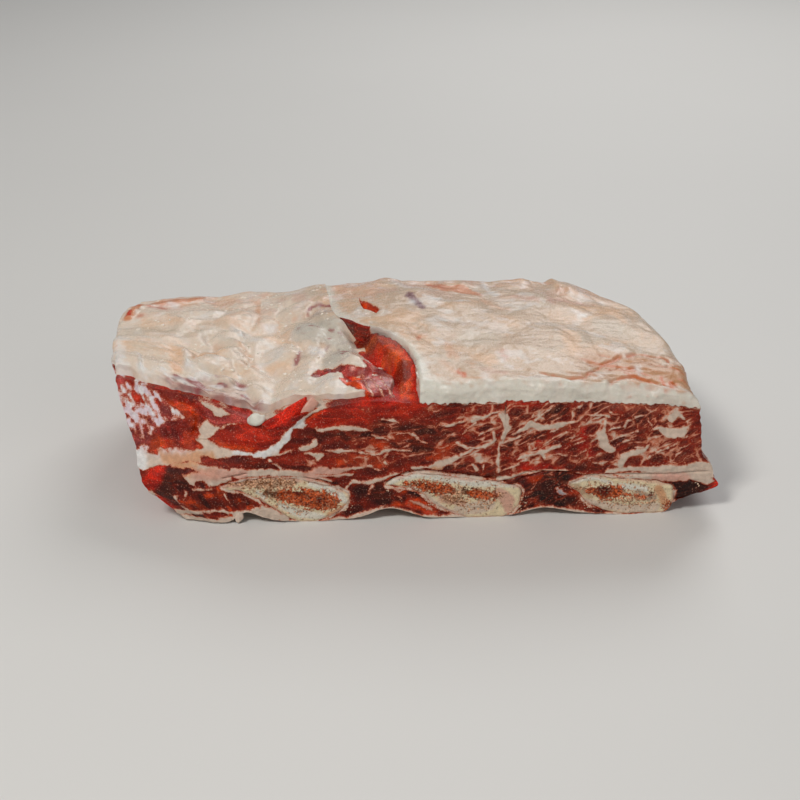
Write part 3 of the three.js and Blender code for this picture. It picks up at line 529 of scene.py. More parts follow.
tintsOfRightTop = [
    ("ruffle", [(18.2, 114.8, 1.6), (23.9, 106.1, 2.4), (32.7, 105, 2.4), (37.9, 98, 1.6)]),
    ("ember", [(17.6, 113.1, 0.5), (23.5, 106.1, 0.6)]),
    ("plum", [(8.7, 89.4, 2), (11, 80.3, 1.2), (12.8, 75.3, 1)]),
    ("frost", [(8.6, 81.5, 1.4)]),
    ("frost", [(17.7, 77.1, 0.8)]),
    ("frost", [(14.4, 88.2, 0.6), (19.5, 84.8, 0.6), (26.4, 83.6, 0.6), (32.5, 83.2, 0.5)]),
    ("stain", [(39.1, 92.5, 0.6), (40.8, 84.2, 0.8), (46, 75.5, 0.9), (49.1, 74.3, 0.6)]),
    ("pinkFat", [(53, 90.3, 0.6), (61.7, 84.8, 1.4), (63.2, 83.4, 1.2)]),
    ("pinkFat", [(68.2, 84.8, 0.8), (70.3, 80.8, 0.8)]),
    ("frost", [(42.6, 118.7, 0.7), (43.6, 100.4, 1.2), (45.9, 94.1, 1.2)]),
    ("frost", [(57, 96.8, 0.7)]),
    ("frost", [(18.3, 62.7, 0.5), (25.3, 61.6, 0.7), (28.7, 59.1, 0.4)]),
    ("amber", [(9.5, 42.5, 0.9), (8.7, 37.2, 0.7)]),
    ("stain", [(8.2, 45.5, 1.2), (11.8, 43, 0.8)]),
    ("stain", [(20.5, 35.8, 1.4), (21.3, 27.1, 1.8), (22.5, 24, 1.4)]),
    ("stain", [(16.4, 18.5, 0.7), (19.5, 15.4, 0.6), (21.3, 9.1, 0.5)]),
    ("amber", [(22.5, 10.3, 0.6), (24.5, 7.9, 0.5)]),
    ("stain", [(26.5, 17.3, 0.6), (28.5, 15.2, 0.6)]),
    ("pinkFat", [(31.2, 12.6, 0.4), (34.9, 9, 0.5), (40.7, 8.1, 0.5)]),
    ("pinkFat", [(41, 27.2, 0.6), (42.2, 21.2, 0.7)]),
    ("peach", [(30.8, 24.1, 2.4), (36.1, 20.4, 2.4)]),
    # chalk along the valley edge: white fat brightened as a painted highlight where the edge faces the light
    ("chalk", [(5.1, 29.5, 0.8), (8.1, 8.4, 3.2), (8.9, 0, 3.2), (14.6, 0.1, 2.4)]),
    ("frost", [(41.9, 15.8, 0.6), (43.3, 14.3, 0.6)]),
    ("beige", [(28.8, 42.4, 4), (38.3, 42.1, 4)]),
    ("pinkFat", [(69.9, 86.6, 1.3), (86.8, 84.8, 0.9), (92.7, 82.9, 0.6)]),
    ("peach", [(78.3, 78.1, 1.3), (98.1, 75.1, 2.6), (98.6, 62.6, 1.7)]),
    ("frost", [(77.4, 71.4, 0.4), (82.3, 66.7, 0.5)]),
    ("beige", [(87.1, 55.5, 3.4), (96.7, 50.2, 3.9)]),
    ("peach", [(70.5, 42.2, 3.9), (69.8, 32.2, 2.6)]),
    ("tan", [(91.1, 22.1, 1.7), (99.5, 20.7, 2.1), (102.3, 14.8, 2.1), (105.6, 12.3, 1.7)]),
    ("amber", [(101.5, 7.7, 0.9), (102, 3.8, 1.1), (105.6, 5.5, 1.1), (106.7, 4.8, 0.9)]),
    ("frost", [(92.8, 14.5, 1.7)]),
    ("tan", [(107.1, 0.4, 1.3), (112.7, 0, 1.3)]),
]
folds = [
    [(71.2, 7.6, 0.3), (75.7, 12.9, 0.3), (79.8, 18.4, 0.3), (84.5, 21.6, 0.5), (88.1, 25.6, 0.4)],
    [(91, 25.8, 0.3), (95.6, 28.7, 0.3), (100.1, 27.1, 0.3), (104.5, 27.8, 0.3), (106.5, 23.2, 0.3)],
    [(82.2, 12.9, 0.3), (85.8, 15.5, 0.3), (87.8, 13, 0.5), (91.3, 15.3, 0.5)],
    [(79.5, 1.2, 0.6), (81.9, 3.9, 0.5), (86.5, 6.6, 0.3), (91.4, 7.8, 0.3)],
    [(91.7, 6.9, 0.3), (95.2, 6, 0.4), (97.6, 6.2, 0.6), (100, 3.6, 0.3)],
    [(85.2, 0.2, 0.4), (88.7, 0.9, 0.3), (92.2, 0.9, 0.3), (98.4, 1.6, 0.3)],
    [(58.7, 0.3, 0.3), (61.5, 1, 0.5)],
    [(53.7, 9.1, 0.3), (58.1, 7.1, 0.3), (64.9, 5.3, 0.3), (71, 6.4, 0.3)],
]
valleyTints = [
    ("ember", [(-12, 50, 2), (-9, 44, 2.6), (-5, 36, 2.4), (0, 30, 2), (2.5, 20, 2.2), (2, 8, 2.4)]),
    ("amber", [(-13, 50, 1.2), (-10.5, 45.5, 1.6), (-8, 41.5, 1)]),
    # wine: painted shade on the valley floor under the right sheet
    ("wine", [(-17, 60, 1), (-12.5, 53, 1.6), (-7.5, 47, 1.7), (-2, 41, 1.3), (2, 35, 0.8)]),
]
shelfPatch = [(-89.1, 5.6), (-74.3, 15.1), (-67.2, 14.8), (-63, 19.8), (-61.4, 17.7), (-58.7, 13.4),
              (-54.7, 11),
              (-55, 2), (-62.4, 1), (-88, 0.5)]
mauvePatch = [(-34, 24.6), (-31.1, 30.5), (-23, 28.3), (-13.6, 22.7), (-11.8, 25.2), (-14.3, 30.7),
              (-9.3, 29.5),
              (-5, 27), (-1.5, 23.6), (-1.5, 0), (-11.8, 0), (-13.5, 5), (-14.9, 10), (-21.4, 16),
              (-22.2, 20.9),
              (-29.8, 24.9)]
redPatch = [(-23.2, 14.9), (-20.2, 15.5), (-16.1, 12), (-13.4, 6.3), (-12.3, 2.8), (-15.8, 5.8), (-19.1, 9.3)]
opening = [(-13.4, 94.7), (-12.1, 87.6), (-8.2, 79.4), (-5, 73.2), (-6.8, 69.2), (-9.4, 72.7), (-12, 75.3),
           (-12.8, 83)]
mound = [(-80.3, 28.5), (-77, 49.3), (-70.2, 55.8), (-63.5, 53.2), (-58.3, 46.4), (-59.9, 35.1),
         (-68.5, 23.5),
         (-77.2, 21.4)]
threads = [  # white threads across the mauve patch
    [(-16.5, 15.4, 0.2), (-13.6, 13.2, 0.2), (-12.5, 8.2, 0.2), (-10.6, 2.9, 0.2)],
    [(-12.2, 16.2, 0.2), (-9.9, 13, 0.2), (-7.9, 6.5, 0.2), (-6.1, 3, 0.2)],
    [(-7.2, 16.3, 0.2), (-4.5, 8.5, 0.2), (-3.1, 4, 0.2)],
    [(-21.3, 21.3, 0.2), (-18, 20.7, 0.2), (-13.7, 18.8, 0.3)],
    [(-9, 21, 0.8)],
]
tintsOfTop = {"left": tintsOfLeftTop, "right": tintsOfRightTop}
strongTints = ("amber", "scarlet", "plum", "mauve", "wine", "brown", "moss", "ruffle")
greyedFat = [(-37, 31, 3), (-27, 27, 5), (-20, 19, 4), (-28, 14, 3)]  # already as short as it is seen
backRuffle = [(-108, 88, 1.5), (-106, 110, 2), (-95, 115, 2.4), (-83, 119, 1)]
ridges = [
    [(-66.4, 75.8, 0.5), (-63, 71.4, 0.8), (-61.9, 64, 0.4)],
    [(-83.3, 42.6, 0.4), (-82.3, 20.9, 0.6), (-78.2, 15.6, 0.6), (-71.2, 17.9, 0.4)],
    [(-103.3, 28.4, 0.8), (-101.2, 19.5, 0.5), (-101, 2.6, 0.5)],
]
# The valley between the two sheets of fat: its two sides, and where it closes, by the distance from the front.
rightEdgeX = lineThrough((0, 7), (20, 6.5), (30, 4.4), (37, 1.5), (45, -4.5), (51, -9.5), (58, -15),
                         (64, -19),
                         (70, -22.5), (76, -24.5), (84, -25.5), (126, -28))
leftEdgeX = lineThrough((0, -2.3), (23, -2.7), (28, -6), (33, -10.5), (38, -11.6), (46, -12.3), (54, -13.4),
                        (58, -15.2), (64, -18.9), (70, -22.3), (76, -24.3), (84, -25.3), (126, -27.8))
lying = 0.45  # the top is seen at a low angle: its marks are drawn this much shorter than they are
redSpots = [(-106.3, 46.8, 1.8), (-106, 41.6, 2), (-103.6, 41.1, 0.9), (-96.3, 42.5, 1.1),
            (-104.6, 34.1, 0.9),
            (-88, 41.9, 0.6)]
crevices = [  # how deep, and where
    (1.2, [(-5.6, 15.9, 0.3), (-3, 18.6, 0.4), (0.1, 19.8, 0.4), (5.8, 21.3, 0.3), (11.5, 21.1, 0.3),
    (16.6, 20.1, 0.3),
           (23.1, 18.9, 0.6), (29.3, 17.5, 0.6), (38.7, 17.4, 0.5)]),
    (1, [(-37.6, 19.7, 0.2), (-32, 18.7, 0.2), (-25.8, 16.3, 0.2), (-22.3, 13.2, 0.3)]),
    (0.8, [(38.5, 15.8, 0.3), (43.3, 17, 0.3), (49.6, 19.6, 0.3), (56.8, 19.9, 0.3), (63.2, 19.5, 0.3),
           (70.7, 17.4, 0.3), (78.4, 17.4, 0.3), (84.9, 17.4, 0.3), (98.8, 17.3, 0.3), (111, 18.1, 0.3)]),
    (1.2, [(-81.3, 41.7, 0.3), (-81.2, 39.6, 0.5), (-81.8, 37.5, 0.4), (-84.3, 34.6, 0.2)]),
    (0.8, [(-81.8, 33.3, 0.2), (-78, 33.4, 0.3), (-73.5, 32, 0.2)]),
    (0.9, [(-73.6, 20, 0.3), (-67.8, 21, 0.3), (-61.9, 21.8, 0.2)]),
    (0.8, [(44.1, 14, 0.4), (47.3, 17.1, 0.3), (55.2, 19.5, 0.3)]),
    (1.5, [(105.7, 5.6, 0.3), (109.1, 6.2, 0.4)]),
]
swellings = [
    (1.8, 1.4, [(-52.6, 41.6, 0.8), (-51.2, 43.2, 0.8)]),  # how far the face stands out, and where
    (2.4, 3, [(-50, 40, 1), (-44, 44.5, 2), (-37, 48, 1.5)]),
    (1.5, 4, [(-66, 35, 1), (-58, 36, 2), (-50, 37, 1)]),
    (1.2, 4, [(-28, 46, 2), (-14, 47, 2)]),
    (1, 4, [(-58, 26, 1), (-44, 27.5, 1)]),
]

# The grain of the lean: how the bundles run and how large they are, from left to right.
grainRise = lineThrough((-112, 0), (-20, 2), (10, 5.5), (45, 15), (113, 49))
grainRun = lineThrough((-112, 0), (0, 8), (45, 12.4), (80, 16.8), (113, 21.6))
webWidth = lineThrough((-112, -0.7), (-60, -0.5), (-36, -0.2), (10, 0.08), (30, 0.18), (60, 0.2), (113, 0.2))


# The ribs' sections.
ribs = {
    "left": {
        "outline": [(-69, 16.5), (-57, 19.2), (-42, 19), (-28, 15.6), (-20, 10), (-26, 3.2),
                    (-38, -0.6), (-50, 6.2),
                    (-60, 13)],
        "marrow": (-42, 11, -0.22, 0.7, 0.5), "bow": 1.5,
        "spongy": [
            [(-53, 13.8, 1.6), (-49, 12.6, 2.4), (-43, 11.6, 3.3), (-37, 10.8, 4.2), (-31, 9.4, 4.5),
             (-27.4, 8.2, 3.4)],
            [(-60, 17.6, 2), (-50, 17.2, 2.8), (-42, 17.4, 1.8)],
            [(-68.7, 17.9, 1), (-62.9, 18.2, 1.5)],
        ],
        "tints": [
            ("porous", [(-60.8, 19.2, 2), (-49.6, 18.9, 2), (-40.9, 18.6, 1.3)]),
            ("chalk", [(-46.9, 7.6, 1.2), (-39, 3.6, 1.8), (-31.2, 2.2, 1.2)]),
            ("chalk", [(-35, 16.8, 1.2), (-29, 15, 1.6), (-24.4, 12, 1.6), (-22.2, 9, 1.2)]),
            ("chalk", [(-55.6, 14, 0.8), (-52.9, 11.3, 0.8)]),
            ("pinkFat", [(-61.2, 7, 2), (-54.9, 4.1, 2.6), (-49.1, 2.3, 2)]),
            ("wine", [(-54.5, 10.2, 0.2), (-50.2, 6.5, 0.2), (-45.5, 3.1, 0.2), (-43.3, 1.4, 0.2)]),
            ("pinkFat", [(-68.7, 17.9, 1.6), (-63, 17.8, 2)]),
            ("stain", [(-27.9, 3.1, 1), (-23.8, 4.6, 1), (-22.2, 6.8, 0.8)]),
        ],
        "coreTints": [
            ("umber", [(-52, 13.4, 1), (-47, 12.4, 1.2)]),
            ("rust", [(-44.5, 11.8, 3.4), (-37.3, 10.8, 5), (-31.1, 9.4, 5.4), (-26.9, 8.3, 4)]),
            ("blood", [(-40.4, 13.1, 0.8)]),
            ("blood", [(-31.9, 9.9, 0.8)]),
            ("porousPink", [(-59.1, 17.9, 2), (-49.6, 17.9, 2), (-43.1, 17.4, 1.6)]),
        ],
    },
    "middle": {
        "outline": [(-6, 15.6), (-1, 18.6), (9, 19.8), (24, 17.6), (45, 13.8), (46.5, 6.5), (41, 0.4),
                    (28, -0.6),
                    (15, 5.2), (5, 13)],
        "marrow": (23, 10.4, -0.25, 0.6, 0.5), "bow": -1.2,
        "spongy": [
            [(1.5, 15.6, 1.2), (7, 15.2, 1.8), (12, 14, 2.8), (17, 12.8, 2.6), (22.1, 12, 2)],
            [(24.5, 11.8, 2), (30, 10.6, 2.6), (35, 9.7, 2.1), (38.4, 9.6, 1.2)],
            [(17.5, 9, 2), (24.6, 7.7, 1.6)],
        ],
        "tints": [
            ("chalk", [(-4.2, 16.4, 1), (-0.7, 18.5, 1.2), (7, 19.6, 1.2), (13.5, 18.3, 1.2),
             (20.5, 16.8, 1.2), (27.5, 15.5, 1.4), (36.1, 14.7, 1.2), (44.4, 13.9, 0.8)]),
            ("cream", [(3.6, 14.3, 0.6), (8.9, 11.8, 0.8), (12.1, 8.2, 0.8), (16.8, 4.3, 1),
             (20.7, 1.9, 0.8)]),
            ("cream", [(23.1, 3.6, 2.4), (30.3, 4.6, 2.8), (34.2, 5.5, 2.4)]),
            ("pinkFat", [(38.3, 10.9, 2), (41.8, 7.5, 2.6), (42.1, 3.3, 1.6)]),
            ("pinkFat", [(16.7, 9, 2), (23.8, 6.7, 1.2)]),
        ],
        "coreTints": [
            ("rust", [(1.7, 15.7, 1.6), (6.2, 15.3, 2.2), (11.7, 13.8, 3), (17.6, 12.6, 2.8)]),
            ("umber", [(25.2, 12.5, 1.2), (29.4, 11.9, 1.2)]),
            ("rust", [(28, 10.6, 1.8), (36.2, 9.7, 1.8)]),
            ("porousPink", [(17.5, 9, 2), (24.6, 7.2, 1.6)]),
        ],
    },
    "right": {
        "outline": [(65.5, 13.6), (71, 16.2), (79, 17), (92, 15), (105, 12.8), (107, 7.5), (104, 0.2),
                    (88, -0.6),
                    (75, 4.2), (70, 9.4)],
        "marrow": (88, 9, -0.2, 0.64, 0.5), "bow": 1,
        "spongy": [
            [(68.4, 11.4, 0.9), (74.1, 10.9, 1.4), (80.1, 9.9, 3.8), (84.4, 10.1, 2.8)],
            [(87.8, 9, 0.9), (95.4, 7.5, 1.4)],
            [(98.2, 8.8, 1.2)],
            [(105.6, 2.9, 2.4), (109.9, 1.9, 2.4)],
        ],
        "tints": [
            ("chalk", [(64.4, 14.7, 0.9), (71.2, 16.4, 1.2), (77.4, 15.9, 0.7), (82.2, 13.9, 0.7)]),
            ("cream", [(73, 6, 1.4), (81.5, 3.5, 1.4), (91.9, 2.1, 1.9), (100.4, 2.6, 1.9)]),
            ("chalk", [(86.3, 12.4, 1.2), (91.4, 11.8, 1.2), (96, 10.9, 1.2)]),
            ("speckled", [(63.1, 12.9, 1.4), (68.3, 12.4, 1.4), (74, 8, 1)]),
            ("porous", [(93, 9.4, 1.2), (99, 6.8, 1.6)]),
            ("stain", [(101, 11, 1.4), (104, 5, 1.6)]),
        ],
        "coreTints": [
            ("rust", [(75, 10.4, 2.4), (80.6, 9.4, 3.6), (84.3, 9.9, 3)]),
            ("blood", [(78.6, 11.4, 1.9), (80.7, 10.6, 1.8)]),
            ("rust", [(88.4, 8.9, 0.8), (95.4, 7.5, 0.6)]),
            ("blood", [(98.2, 8.8, 1.2)]),
            ("rust", [(105.6, 2.9, 2.4), (109.9, 1.9, 2.4)]),
        ],
    },
}
ribMake = {"around": 168, "bone": (150, 48), "marrow": (110, 30), "proud": 0.2, "steps": 24, "hollow": 1.6}


def ribOutline(rib, count):  # a smooth closed line through its corners, flat where it stands on the table
    corners = np.array(rib["outline"], float)
    u = np.arange(count) / count * len(corners)
    i = np.floor(u).astype(int)
    k = (u - i)[:, None]
    p = [corners[(i + j) % len(corners)] for j in (-1, 0, 1, 2)]
    tangents = (p[2] - p[0]) / 2, (p[3] - p[1]) / 2
    line = (2 * k**3 - 3 * k**2 + 1) * p[1] + (k**3 - 2 * k**2 + k) * tangents[0]
    line = line + (3 * k**2 - 2 * k**3) * p[2] + (k**3 - k**2) * tangents[1]
    line += 0.45 * np.stack([lumpy(np.c_[line, 0 * u], 3, seed) for seed in (35, 36)], -1)
    line[:, 1] = np.maximum(line[:, 1], 0)
    return line


def marrowOutline(rib, outline):
    x, z, slope, wide, high = rib["marrow"]
    right = (outline[:, 0] - x) * wide
    up = (outline[:, 1] - z - slope * (outline[:, 0] - x)) * high
    return np.stack([x + right, z + slope * right + up], -1)


for rib in ribs.values():
    rib["line"] = ribOutline(rib, ribMake["around"])
    rib["marrowLine"] = marrowOutline(rib, rib["line"])


def inLine(x, z, line):  # every third point of a fine outline will do
    return inPatch(x, z, [tuple(p) for p in line[::3].tolist()])


def inBones(x, t, z):
    inside = np.full(len(x), farOutside)
    for rib in ribs.values():
        bowed = x - rib["bow"] * np.sin(np.pi * t)
        inside = np.maximum(inside, inLine(bowed, z, rib["line"]))
    return inside


# What a place of the meat or the fat looks like. A field is above 0 inside a mark and below 0 outside it.
def wash(target, name, share):
    target += (linear(colours[name]) - target) * share[:, None]


def tinted(name, count):  # one colour for this many places
    return np.tile(linear(colours[name]), (count, 1))


def lyingStreak(x, y, streak):
    return inStreak(x, y * lying, [(px, py * lying, r) for px, py, r in streak])


def lyingPatch(x, y, outline):
    return inPatch(x, y * lying, [(px, py * lying) for px, py in outline])


def spotsAt(s, t, z):  # the places to paint, and which muscle each lies in
    p = SimpleNamespace(count=len(s), x=across(s), y=t * depth, z=z, t=t)
    p.at = np.stack([p.x, p.y, z], -1)
    p.bone = inBones(place(s, t, z)[:, 0], t, z)
    drift = smooth(0.02, 0.35, t)  # behind the front the marks wander
    p.u = p.x + drift * 6 * lumpy(p.at, 16, 1) + 0.9 * lumpy(p.at, 4.5, 41) + 0.4 * lumpy(p.at, 1.9, 42)
    p.h = z + drift * 2.4 * lumpy(p.at, 13, 2) + 0.5 * lumpy(p.at, 3.8, 43) + 0.25 * lumpy(p.at, 1.6, 44)
    p.rag = 0.36 * lumpy(p.at, 2.6, 3) + 0.22 * lumpy(p.at, 1.2, 4)
    p.toTop = z - meatTop(p.x, t)
    p.onTop = smooth(-1.4, -0.4, p.toTop) * smooth(0.012, 0.035, t)
    p.inTorn = smooth(-1, 1, inPatch(p.u, p.h, tornMuscle))
    p.inLens = smooth(-1.5, 1.5, np.maximum(inPatch(p.u, p.h, lensMuscle), inPatch(p.u, p.h, shoulderMuscle)))
    p.inMauve = smooth(-0.6, 0.6, inPatch(p.u, p.h, mauveMuscle))
    p.inSpots = np.max([inStreak(p.u, p.h, [spot]) for spot in redSpots], 0)
    p.mottled = smooth(-84, -92, p.x) * smooth(26, 31, p.h) * (1 - p.inTorn)
    return p


def fatAt(p):  # fat above 0, lean below
    fat = np.minimum(p.h - ribMeatTop(p.u, p.t), seamTop(p.u, p.t) - p.h) - 1.2
    fat = np.maximum(fat, np.minimum(inPatch(p.u, p.h, leftGround), 1.5))
    fat = np.maximum(fat, 0.35 - np.abs(p.toTop + 0.1) * 2 - 3 * p.onTop)
    for streak in streaksOfFat:
        fat = np.maximum(fat, inStreak(p.u, p.h, streak))
    bare = np.full(p.count, farOutside)
    for streak in streaksOfLean:
        bare = np.maximum(bare, inStreak(p.u, p.h, streak))
    for patch in (tornMuscle, shoulderMuscle, lensMuscle, mauveMuscle):
        bare = np.maximum(bare, inPatch(p.u, p.h, patch))
    bare = np.minimum(bare, -inPatch(p.u, p.h, whiteOnMauve))
    fat = np.where(bare > -4, np.minimum(fat, -bare), fat)
    blotch = 0.9 * lumpy(p.at, 2.8, 8) + 0.9 * lumpy(p.at, 1.3, 9) + 0.1
    fat = mix(fat, np.minimum(fat, blotch), p.mottled)
    fat = np.minimum(fat, -p.inSpots)
    # pale skin under the ribs, and around the bones
    skin = 0.7 + 1.1 * smooth(-50, -70, p.x) - 2.4 * smooth(94, 101, p.x) + 0.7 * lumpy(p.at, 5, 45)
    fat = np.maximum(fat, np.minimum(skin - (p.z - ribMeatBottom(p.x, p.t)), 1.5))
    return np.maximum(fat, np.minimum(0.6 + 0.9 * lumpy(p.at, 4, 46) - np.abs(p.bone + 0.4), 1))


def leanTintAt(p):
    lean = tinted("flesh", p.count)
    wash(lean, "bright", np.maximum(p.inLens, smooth(-30, -60, p.x) * smooth(26, 32, p.h)))
    wash(lean, "scarlet", 0.22 * p.inLens)
    wash(lean, "wine", 0.7 * p.inTorn)
    wash(lean, "mauve", 0.85 * p.inMauve)
    dark = 0.6 * smooth(0.1, 0.7, lumpy(p.at * (0.5, 1, 1.5), 6, 5))
    wash(lean, "brown", dark * (1 - p.inLens) * smooth(26, 22, p.h))
    between = smooth(20, 17, p.h)  # the meat between the ribs is blotched dark and bright
    wash(lean, "wineDark", 0.75 * between * smooth(0, 0.5, lumpy(p.at, 4.2, 64)))
    wash(lean, "ember", 0.7 * between * smooth(0.2, 0.6, lumpy(p.at, 3.1, 65)))
    for name, streak in tintsOfLean + tintsOfRibMeat:
        wash(lean, name, 0.85 * smooth(-1.8, 1, inStreak(p.u, p.h, streak) + 2 * p.rag))
    wash(lean, "rosy", 0.8 * p.mottled * (1 - smooth(-0.5, 0.5, p.inSpots)))
    wash(lean, "scarlet", 0.6 * p.inTorn * smooth(0.1, 0.5, lumpy(p.at, 2.4, 19)))
    wash(lean, "ember", 0.5 * p.inTorn * smooth(0.1, 0.5, lumpy(p.at, 2.9, 20)))
    return lean


def paleTintAt(p):
    pale = tinted("cream", p.count)
    # the membrane at the upper left: its own pale mottle and frost, with a painted sheen
    wash(pale, "mottle", p.mottled)
    wash(pale, "frost", 0.8 * p.mottled * smooth(0.1, 0.5, lumpy(p.at, 2.2, 10)))
    for name, streak in tintsOfFat:
        wash(pale, name, 0.85 * smooth(-1.6, 1, inStreak(p.u, p.h, streak) + 2 * p.rag))
    return pale


def webAt(p):  # half the width of the fat between the bundles
    web = webWidth(p.x) + 0.3 * lumpy(p.at, 8, 6) + 0.25 * lumpy(p.at, 3.4, 7)
    web = web - 0.3 * (p.inTorn + p.inLens) - 0.3 * smooth(24, 19, p.h)
    return web - 1.5 * smooth(95, 101, p.x) * smooth(16, 13, p.h)


def nearSeam(x, y):  # 1 on the left sheet where it meets the right one
    return smooth(16, 0, leftEdgeX(y) - x) * smooth(60, 76, y)


def wrinklesAt(at):  # long wrinkles that run a little askew
    return lumpy(at * (0.25, 1, 1) + 0.3 * at[:, :1] * (0, 1, 0), 1.7, 61)


def blots(p, low, high, size, seed, frayed):  # blotches of a sheet of fat
    return smooth(low, high, lumpy(p.flat, size, seed) + frayed * p.ragged)


def paintSheet(p, side, lean):
    # the right sheet's base colour carries painted shade
    pale = tinted("capRightShaded", p.count)
    if side == "left":
        wash(pale, "capLeft", 1 - nearSeam(p.x, p.y))
    p.ragged = lumpy(p.at, 1.7, 13) + 0.6 * lumpy(p.at, 4, 14)
    p.flat = np.stack([0.8 * p.x + 0.5 * p.y, 0.8 * p.y - 0.5 * p.x, 0 * p.x], -1) * 0.7
    p.flat[:, 0] += 4 * lumpy(p.at, 9, 52)
    p.flat[:, 1] += 4 * lumpy(p.at, 8, 53)
    wash(pale, "peach", 0.55 * blots(p, -0.3, 0.7, 9, 14, 0.5) * smooth(8, 40, p.y))
    wash(pale, "beige", 0.5 * blots(p, 0, 0.8, 7, 15, 0.4) * smooth(5, 20, p.y))
    wash(pale, "pinkFat", 0.5 * smooth(70, 118, p.y) * blots(p, -0.5, 0.6, 6, 16, 0.4))
    wash(pale, "frost", 0.4 * blots(p, 0, 0.8, 4, 19, 0.5))
    if side == "right":
        wrinkle = wrinklesAt(p.at)
        # tan over the folds and amber in the wrinkle troughs: partly the fat's colour, partly painted shade in
        # the creases
        wash(pale, "tan", 0.8 * smooth(62, 82, p.x) * smooth(34, 18, p.y) * blots(p, -0.9, 0.3, 3, 20, 0))
        wash(pale, "amber", 0.55 * smooth(58, 84, p.x) * smooth(32, 20, p.y) * smooth(0.2, 0.55, wrinkle))
        wash(pale, "stain", 0.4 * smooth(70, 20, p.x) * smooth(24, 10, p.y) * smooth(0.3, 0.65, wrinkle))
    for name, streak in tintsOfTop[side]:
        strong = 0.85 if name in strongTints else 0.6
        soft = 2.4 if name == "moss" else 0.7 if name in strongTints else 1.6
        wash(pale, name, strong * smooth(-soft, soft, lyingStreak(p.x, p.y, streak) + 0.9 * p.ragged))
    # amber along the fold grooves: painted shade in the creases
    for streak in folds if side == "right" else ():
        wash(pale, "amber", 0.6 * smooth(-0.6, 0.4, lyingStreak(p.x, p.y, streak) + 0.4 * p.ragged))
    wash(pale, "chalk", 0.85 * smooth(5, 0.4, p.y + 2.2 * p.ragged) * smooth(-12, 2, p.x))
    fat = np.full(p.count, 2.0)
    paintRest = paintLeftSheet if side == "left" else paintRightSheet
    return paintRest(p, pale, lean, fat), pale


def paintLeftSheet(p, pale, lean, fat):
    x, y = p.x, p.y
    greyed = smooth(-2, 4, inStreak(x, y * lying, greyedFat))
    wash(pale, "grey", 0.4 * greyed * blots(p, -0.2, 0.9, 3, 62, 0.5))
    wash(pale, "mauve", 0.75 * greyed * blots(p, 0.3, 0.6, 1.7, 63, 0.4))
    thin = lyingPatch(x, y, shelfPatch)  # the muscle shines through the thin fat
    long = p.at * (0.6, 1, 1)
    wash(pale, "mauve", 0.25 * smooth(-0.8, 0.8, thin + 2 * p.rag))
    wash(pale, "mauve", 0.8 * smooth(-2.5, 0, thin + 2 * p.rag) * smooth(0, 0.45, lumpy(long, 2.6, 68)))
    wash(pale, "frost", 0.6 * smooth(-2, 0, thin) * smooth(0.1, 0.5, lumpy(long, 2.1, 71)))
    wash(pale, "grey", 0.5 * smooth(-0.8, 0.8, thin) * smooth(0.2, 0.6, lumpy(p.at, 1.6, 17)))
    front = smooth(2.4, 0.6, y - leftSheetFront(x) * depth + 0.8 * p.ragged)
    front = front * smooth(-95, -86, x) * smooth(-48, -58, x)
    wash(pale, "mauve", 0.65 * front * smooth(-0.5, 0.3, lumpy(p.at * (0.5, 1, 1), 3, 72)))
    wash(pale, "grey", 0.4 * front * smooth(0, 0.5, lumpy(p.at, 2, 73)))
    bare = lyingPatch(x, y, mauvePatch) + 0.25 * p.ragged
    fat = np.minimum(fat, -1.6 * bare)
    for streak in threads:
        fat = np.maximum(fat, lyingStreak(x, y, streak) + 0.15)
    wash(lean, "mauve", smooth(-1, 0.5, bare))
    # a painted sheen brightens the bare membrane towards its right end; the rest of its mottle is its own
    paintedSheen = 0.4 * smooth(-5, 0, x) * smooth(0, 1, bare)
    wash(lean, "mottle", paintedSheen + 0.25 * smooth(0, 0.6, lumpy(p.at, 3, 18)))
    raw = lyingPatch(x, y, redPatch) + 0.2 * p.ragged
    wash(lean, "ember", smooth(-0.5, 0.3, raw))
    return np.minimum(fat, -2 * raw)


def paintRightSheet(p, pale, lean, fat):
    x, y = p.x, p.y
    toEdge = x - rightEdgeX(y)
    # chalk along the valley edge: white fat brightened as a painted highlight on the lit edge
    wash(pale, "chalk", 0.7 * smooth(5, 1, toEdge + 1.5 * p.ragged))
    # plum on the flank over the valley: painted shade, with a little of the membrane's purple
    wash(pale, "plum", 0.45 * smooth(2.6, 0.8, toEdge + p.ragged) * hump(y, 49, 9))
    spikes = (p.toTop + 0.1) * 1.6 - 0.6 + 1.3 * lumpy(p.at * (1.6, 1, 0.5), 1.5, 47)
    fat = np.where((y < 0.6) & (x > 0), np.minimum(fat, spikes), fat)  # teeth of lean under the white rim
    # the flank over the valley is lean; the wine painted along it is its shadow
    shadedWall = (toEdge - 1.3) * 1.5 + 0.5 * p.ragged + 3 * smooth(6, 10, np.abs(y - 60))
    wash(lean, "wine", 0.35 * smooth(2.4, 0.2, shadedWall))
    hole = lyingPatch(x, y, opening)
    wash(lean, "ember", smooth(-0.6, 0.2, hole))
    return np.minimum(np.minimum(fat, shadedWall), -2 * hole)


def paintValley(p, lean):
    fibre = lumpy(p.at * (1, 0.3, 1), 1.3, 69) + 0.6 * lumpy(p.at, 2.4, 70)
    wash(lean, "scarlet", 0.8 * p.onTop)
    # the wine strip of these tints is painted shade from the right sheet
    for name, streak in valleyTints:
        inside = lyingStreak(p.x, p.y, streak) + 1.5 * p.rag + 0.5 * fibre
        wash(lean, name, 0.9 * p.onTop * smooth(-1, 0.8, inside))
    wash(lean, "amber", 0.6 * p.onTop * smooth(0.2, 0.9, fibre))
    wash(lean, "brown", 0.5 * p.onTop * smooth(-0.3, -0.9, fibre))


